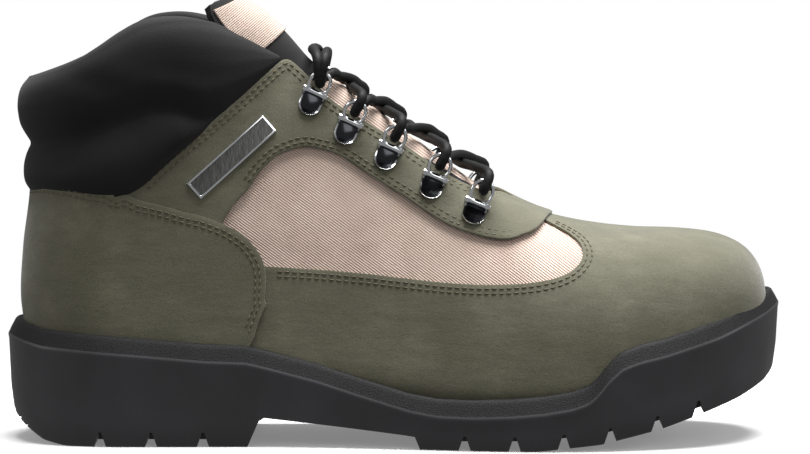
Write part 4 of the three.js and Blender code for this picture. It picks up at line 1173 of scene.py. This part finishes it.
def ringMesh(settings):
    bm = bmesh.new()
    half = settings["plateWidth"] / 2
    length = settings["plateLength"]
    outline = [(-half, 0.6)]
    for k in range(13):
        angle = math.pi + math.pi * k / 12
        outline.append((half * math.cos(angle), -(length - half) + half * math.sin(angle)))
    outline.append((half, 0.6))
    base = bm.faces.new([bm.verts.new(Vector((x, y, 0)) * mm) for x, y in outline])
    top = bmesh.ops.extrude_face_region(bm, geom=[base])
    lifted = [g for g in top["geom"] if isinstance(g, bmesh.types.BMVert)]
    bmesh.ops.translate(bm, verts=lifted, vec=(0, 0, settings["plateThickness"] * mm))
    face = [g for g in top["geom"] if isinstance(g, bmesh.types.BMFace)][0]
    bmesh.ops.inset_region(bm, faces=[face], thickness=settings["rim"] * mm, depth=0.0)
    bmesh.ops.translate(bm, verts=face.verts, vec=(0, 0, -0.45 * mm))
    # The sunk face takes the near-black chrome, a painted dark reflection.
    face.material_index = 1
    bmesh.ops.recalc_face_normals(bm, faces=bm.faces)
    bmesh.ops.bevel(bm, geom=[e for e in bm.edges if e.calc_face_angle(0) > 0.8], offset=0.18 * mm,
                    segments=2, profile=0.5, affect="EDGES", material=-1)
    bar = bmesh.ops.create_cone(bm, cap_ends=True, segments=20, radius1=settings["barRadius"] * mm,
                                radius2=settings["barRadius"] * mm, depth=(settings["plateWidth"] + 1.4) * mm)
    bmesh.ops.rotate(bm, verts=bar["verts"], cent=(0, 0, 0), matrix=Matrix.Rotation(halfPi, 3, "Y"))
    bmesh.ops.translate(bm, verts=bar["verts"], vec=(0, 0.4 * mm, (settings["barRadius"] + 0.3) * mm))
    caps = {e for v in bar["verts"] for e in v.link_edges if e.calc_face_angle(0) > 1.2}
    bmesh.ops.bevel(bm, geom=list(caps), offset=0.3 * mm, segments=2, profile=0.5, affect="EDGES",
        material=-1)
    wire = bmesh.ops.create_circle(bm, cap_ends=False, segments=12, radius=settings["wire"] * mm)
    bmesh.ops.rotate(bm, verts=wire["verts"], cent=(0, 0, 0), matrix=Matrix.Rotation(halfPi, 3, "X"))
    bmesh.ops.translate(bm, verts=wire["verts"], vec=(settings["ringRadius"] * mm, 0, 0))
    edges = [e for e in bm.edges if all(v in wire["verts"] for v in e.verts)]
    spun = bmesh.ops.spin(bm, geom=wire["verts"] + edges, cent=(0, 0, 0), axis=(0, 0, 1), dvec=(0, 0, 0),
                          angle=2 * math.pi, steps=36, use_merge=True)
    ringVerts = {v for g in spun["geom_last"]
                 for v in ([g] if isinstance(g, bmesh.types.BMVert) else g.verts)}
    stack = list(ringVerts)
    while stack:
        v = stack.pop()
        for e in v.link_edges:
            other = e.other_vert(v)
            if other not in ringVerts:
                ringVerts.add(other)
                stack.append(other)
    ringVerts = list(ringVerts)
    bmesh.ops.scale(bm, verts=ringVerts, vec=(0.92, 1.12, 1.0))
    bmesh.ops.translate(bm, verts=ringVerts, vec=(0, settings["ringRadius"] * mm, 0))
    bmesh.ops.rotate(bm, verts=ringVerts, cent=(0, 0, 0),
        matrix=Matrix.Rotation(math.radians(settings["tilt"]), 3, "X"))
    bmesh.ops.translate(bm, verts=ringVerts, vec=(0, 0.4 * mm, (settings["barRadius"] + 0.3) * mm))
    return bm


ringFrames = {}


def makeRings(settings):
    for side, label in ((-1, "outer"), (1, "inner")):
        for k, (x, z) in enumerate(settings["bars"]):
            matrix = surfaceFrame(x, z, side, settings["rise"], settings["turn"])
            ringFrames[(side, k)] = matrix
            bm = ringMesh(settings)
            bmesh.ops.transform(bm, matrix=matrix, verts=bm.verts)
            if matrix.determinant() < 0:
                bmesh.ops.reverse_faces(bm, faces=bm.faces)
            linkPiece(f"{label}_lace_ring_{k + 1}", bm, [chrome, chromePaintedDarkReflection], [f"{label}_ring_{k + 1}"],
                35)


makeRings(ringSettings)


# Laces.

laceSettings = {
    "radius": 2.0, "sides": 12, "step": 0.9, "lift": 1.6, "clearance": 0.15,
    "crossings": [(-17.5, 140.2), (-4.2, 131.2), (12.8, 120.4), (26.6, 110.0)],
    "top": (-32.2, 153.4), "loop": (-27.6, 150.6), "low": (36.6, 102.4),
}


# Where the cord turns round a ring: over the far end of its wire, and down through its eye.
def ringTurnPoints(side, k):
    tilt = math.radians(ringSettings["tilt"])
    along = Vector((0, math.cos(tilt), math.sin(tilt)))
    through = Vector((0, -math.sin(tilt), math.cos(tilt)))
    foot = Vector((0, 0.4, ringSettings["barRadius"] + 0.3))
    eye = foot + along * ringSettings["ringRadius"] * 1.25
    local = [foot + along * (ringSettings["ringRadius"] * 2.1 + 2.4), eye + through * 2.3,
        eye - through * 1.9]
    return [(ringFrames[(side, k)] @ (p * mm)) / mm for p in local]


# A smooth line through points that lie unevenly, at even steps.
def cordPath(points, step):
    points = np.array([tuple(p) for p in points])
    at = np.concatenate([[0], np.cumsum(np.linalg.norm(np.diff(points, axis=0), axis=1) ** 0.5)])
    slopes = np.gradient(points, at, axis=0)
    fine = []
    for i in range(len(points) - 1):
        h = at[i + 1] - at[i]
        f = np.linspace(0, 1, 24, endpoint=False)[:, None]
        f2, f3 = f * f, f * f * f
        fine.append((2 * f3 - 3 * f2 + 1) * points[i] + (f3 - 2 * f2 + f) * h * slopes[i]
                    + (3 * f2 - 2 * f3) * points[i + 1] + (f3 - f2) * h * slopes[i + 1])
    fine = np.concatenate(fine + [points[-1:]])
    length = np.concatenate([[0], np.cumsum(np.linalg.norm(np.diff(fine, axis=0), axis=1))])
    target = np.linspace(0, length[-1], round(length[-1] / step))
    return np.column_stack([np.interp(target, length, fine[:, c]) for c in range(3)])


# Lifts the cord where it would sink into the leather or the tongue.
def liftCord(path, settings):
    station, turn = sidePlace(path[:, 0], path[:, 2])
    side = np.where(path[:, 1] < 0, -1, 1)
    bare = lastPoints(station, turn, side)
    inside = np.abs(path[:, 1] - bare[:, 1]) * np.sign(np.abs(bare[:, 1]) - np.abs(path[:, 1]))
    normal = lastNormals(station, turn, side)
    height = -inside * np.abs(normal[:, 1])
    onTongue = np.abs(path[:, 1]) < 11
    wanted = np.where(onTongue, -1.4, 2.4) + settings["radius"] + settings["clearance"]
    push = np.clip(wanted - height, 0, 4)
    ridge = smoothValue(lastTable["topZ"], station)
    push = np.where(path[:, 2] > ridge - 0.5, 0, push)
    push = np.convolve(np.pad(push, 3, mode="edge"), np.full(7, 1 / 7), "valid")
    return path + normal * push[:, None]


# A tube of rings round a path, closed at its ends, with its real length and its turn kept in a UV map.
def tubeMesh(bm, path, radius, sides):
    path = np.asarray(path, float)
    tangents = np.gradient(path, axis=0)
    tangents /= np.linalg.norm(tangents, axis=1, keepdims=True)
    normal = np.cross(tangents[0], [0, 0, 1.0])
    rings = []
    for p, t in zip(path, tangents):
        normal = normal - t * np.dot(normal, t)
        normal /= np.linalg.norm(normal)
        other = np.cross(t, normal)
        rings.append([p + radius * (math.cos(2 * math.pi * k / sides) * normal
                                    + math.sin(2 * math.pi * k / sides) * other) for k in range(sides)])
    layers = loftBlock(bm, rings)
    layer = bm.loops.layers.uv.verify()
    length = np.concatenate([[0], np.cumsum(np.linalg.norm(np.diff(path, axis=0), axis=1))])
    place = {v: (i, j) for i, ring in enumerate(layers) for j, v in enumerate(ring)}
    for ring in layers[:-1]:
        for v in ring:
            for f in v.link_faces:
                spots = [place[loop.vert] for loop in f.loops]
                wraps = max(j for i, j in spots) - min(j for i, j in spots) > sides / 2
                for loop, (i, j) in zip(f.loops, spots):
                    loop[layer].uv = (length[i] / (2 * math.pi * radius),
                        (j + sides if wraps and j == 0 else j) / sides)


def makeLaces(settings):
    over = [Vector((x, 0, z)) for x, z in settings["crossings"]]
    lift = Vector((0, 0, settings["lift"]))
    cords = []
    for start, sign in ((-1, 1), (1, -1)):
        points = ringTurnPoints(start, 0)[1:]
        side = start
        for k in range(4):
            crossing = over[k] + lift * sign * (-1) ** k
            leave = points[-1].lerp(crossing, 0.5) + Vector((0, 0, 0.9))
            side = -side
            arrive = ringTurnPoints(side, k + 1)
            reach = crossing.lerp(arrive[0], 0.5) + Vector((0, 0, 0.9))
            points += [leave, crossing, reach, *arrive]
        cords.append(points)
    low = Vector((settings["low"][0], 0, settings["low"][1]))
    joined = cords[0] + [cords[0][-1].lerp(low, 0.5) + Vector((0, 0, 1.6)), low,
                         cords[1][-1].lerp(low, 0.5) + Vector((0, 0, 1.6))] + cords[1][::-1]
    bm = bmesh.new()
    tubeMesh(bm, liftCord(cordPath(joined, settings["step"]), settings), settings["radius"],
        settings["sides"])
    for place in ("top", "loop"):
        crown = Vector((settings[place][0], 0, settings[place][1]))
        ends = [ringTurnPoints(side, 0) for side in (-1, 1)]
        rises = [end[0] + Vector((crown.x - end[0].x, 0, 0)) * 0.6 + Vector((0, 0, 3.4)) for end in ends]
        points = [ends[0][2], ends[0][1], rises[0], crown, rises[1], ends[1][1], ends[1][2]]
        tubeMesh(bm, cordPath(points, settings["step"]), settings["radius"], settings["sides"])
    return linkPiece("lace_cord", bm, [laceBraid], ["laces"], 60)


makeLaces(laceSettings)


# Blank plate on the outer side.

plateSettings = {"x": -63.5, "z": 112.2, "length": 39.0, "width": 8.4, "thickness": 1.1, "slope": 41.5,
    "rise": 2.25, "rim": 0.75, "sink": 0.35}


def makePlate(settings):
    slope = math.radians(settings["slope"])
    half, deep = settings["length"] / 2, settings["width"] / 2
    rim = settings["rim"]
    along = np.concatenate([[-half, -half + rim, -half + rim + 0.15], np.linspace(-half + 2, half - 2, 34),
        [half - rim - 0.15, half - rim, half]])
    across = np.concatenate([[-deep, -deep + rim, -deep + rim + 0.15],
        np.linspace(-deep + 1.5, deep - 1.5, 6), [deep - rim - 0.15, deep - rim, deep]])
    a, c = np.meshgrid(along, across)
    x = settings["x"] + a * math.cos(slope) - c * math.sin(slope)
    z = settings["z"] + a * math.sin(slope) + c * math.cos(slope)
    station, turn = sidePlace(x, z)
    inside = (np.abs(a) < half - rim - 0.05) & (np.abs(c) < deep - rim - 0.05)
    rise = settings["rise"] + settings["thickness"] - np.where(inside, settings["sink"], 0.0)
    bm = bmesh.new()
    points = surfacePoints(station, turn, -1, rise)
    bendGrid(bm, points, lastNormals(station, turn, np.full(turn.shape, -1)))
    sunk = points[inside]
    for f in bm.faces:
        if all(np.abs(sunk - np.array(v.co) / mm).sum(axis=1).min() < 0.05 for v in f.verts):
            f.material_index = 1
    piece = linkPiece("blank_plate", bm, [chrome, brushedNickel], ["plate"], 30)
    addThickness(piece, settings["thickness"], 0.15)
    return piece


# Nickel brushed across the plate's width: dark, with fine bright lines.
def makeBrushed(name, shade):
    material = newMaterial(name)
    place = addNode(material, "ShaderNodeTexCoord").outputs["Object"]
    turned = addNode(material, "ShaderNodeMapping",
        inputs={"Vector": place, "Rotation": (0, math.radians(41.5), 0), "Scale": (4, 1, 0.2)})
    lines = addNode(material, "ShaderNodeTexNoise",
        inputs={"Vector": turned.outputs["Vector"], "Scale": 1500.0, "Detail": 3.0})
    colour = rampNode(material, lines.outputs["Fac"], [(0.3, shade[0]), (0.75, shade[1])])
    bump = addNode(material, "ShaderNodeBump",
        inputs={"Strength": 0.3, "Distance": 0.0002, "Height": lines.outputs["Fac"]})
    return finishMaterial(material, {"Base Color": colour, "Metallic": 1.0, "Roughness": 0.45},
        bump.outputs["Normal"])


brushedNickel = makeBrushed("brushed dark nickel", ["#3a3a3a", "#7c7c7a"])
makePlate(plateSettings)
print("stage: rings, laces and plate")


# Stitches.

stitchSettings = {"length": 2.3, "gap": 0.6, "thick": 0.52}
stitchTurns = [k * math.pi / 3 for k in range(6)]


# Rows of stitches along curves on the last: each curve is (station, turn) arrays and a rise.
def makeStitches(name, curves, thread, settings):
    bm = bmesh.new()
    pitch = settings["length"] + settings["gap"]
    halfThick = settings["thick"] / 2
    for station, turn, rise in curves:
        for side in (-1, 1):
            points = surfacePoints(station, turn, side, rise)
            normals = lastNormals(station, turn, np.full(np.shape(turn), side))
            length = np.concatenate([[0], np.cumsum(np.linalg.norm(np.diff(points, axis=0), axis=1))])
            for start in np.arange(pitch / 2, length[-1] - pitch / 2, pitch):
                rings = []
                for share, swell, lift in ((0.0, 0.35, -0.3), (0.18, 1.0, 0.1), (0.5, 1.1, 0.25),
                        (0.82, 1.0, 0.1), (1.0, 0.35, -0.3)):
                    at = start + share * settings["length"]
                    centre = np.array([np.interp(at, length, points[:, c]) for c in range(3)])
                    out = np.array([np.interp(at, length, normals[:, c]) for c in range(3)])
                    ahead = np.array([np.interp(at + 0.5, length, points[:, c]) for c in range(3)]) - centre
                    across = np.cross(ahead, out)
                    across /= np.linalg.norm(across) + 1e-9
                    centre = centre + out * lift * settings["thick"]
                    rings.append([centre + halfThick * swell * (math.cos(t) * across + math.sin(t) * out)
                                  for t in stitchTurns])
                loftBlock(bm, rings)
    bmesh.ops.recalc_face_normals(bm, faces=bm.faces)
    return linkPiece(name, bm, [thread], [], 80)


# A line on the last that runs inside a sheet at a real distance from its upper (0) or lower (1) edge. It is
# walked
# inwards in small steps, and the points that come nearer to the edge again at a tight corner are left out.
def insideEdge(rows, edge, distance, span, count=260):
    keys = np.array([[list(place) for place in row] for row in rows], float)
    u = np.linspace(span[0], span[1], count) * (len(keys) - 1)
    curve = [[smoothValue(keys[:, k, axis], u) for axis in (0, 1)] for k in range(3)]
    station, turn = (np.array(values) for values in curve[2 * edge])
    rim = lastPoints(station, turn, -1)
    inside = lastPoints(*curve[1], -1) - rim
    steps = 6
    for _ in range(steps):
        turn = np.clip(turn, -halfPi + 0.03, halfPi - 0.03)
        points = lastPoints(station, turn, -1)
        tangent = np.gradient(points, axis=0)
        inward = np.cross(lastNormals(station, turn, np.full(count, -1)), tangent)
        inward *= np.sign((inward * inside).sum())
        inward = np.column_stack([np.convolve(np.pad(inward[:, c], 4, mode="edge"), np.full(9, 1 / 9),
            "valid") for c in range(3)])
        inward *= distance / steps / np.linalg.norm(inward, axis=1, keepdims=True)
        probe = 0.01
        a = (lastPoints(station + probe, turn, -1) - lastPoints(station - probe, turn, -1)) / (2 * probe)
        b = (lastPoints(station, turn + probe, -1) - lastPoints(station, turn - probe, -1)) / (2 * probe)
        aa, ab, bb = (a * a).sum(axis=1), (a * b).sum(axis=1), (b * b).sum(axis=1)
        ai, bi = (a * inward).sum(axis=1), (b * inward).sum(axis=1)
        scale = aa * bb - ab * ab
        station = np.clip(station + (ai * bb - bi * ab) / scale, 0.1, lastEnd - 0.1)
        turn = turn + (bi * aa - ai * ab) / scale
    points = lastPoints(station, turn, -1)
    away = np.linalg.norm(points[:, None, :] - rim[None, :, :], axis=2).min(axis=1)
    kept = away > 0.92 * distance
    return station[kept], turn[kept]


eyestayRowsPlaced = eyestayPlaces()
vampRowsPlaced = vampPlaces()
counterRowsPlaced = counterPlaces()
leatherCurves = []
for distance in (1.6, 3.5):
    leatherCurves.append((*insideEdge(eyestayRowsPlaced, 0, distance, (0.07, 0.97)), 2.25))
    leatherCurves.append((*insideEdge(eyestayRowsPlaced, 1, distance, (0.08, 0.985)), 2.3))
    leatherCurves.append((*insideEdge(vampRowsPlaced, 0, distance, (0.04, 0.54)), 1.35))
for distance in (2.2, 4.0):
    leatherCurves.append((*insideEdge(counterRowsPlaced, 0, distance, (0.03, 0.99)), 2.95))
makeStitches("leather_stitches", leatherCurves, oliveThread, stitchSettings)
print("stage: stitches")
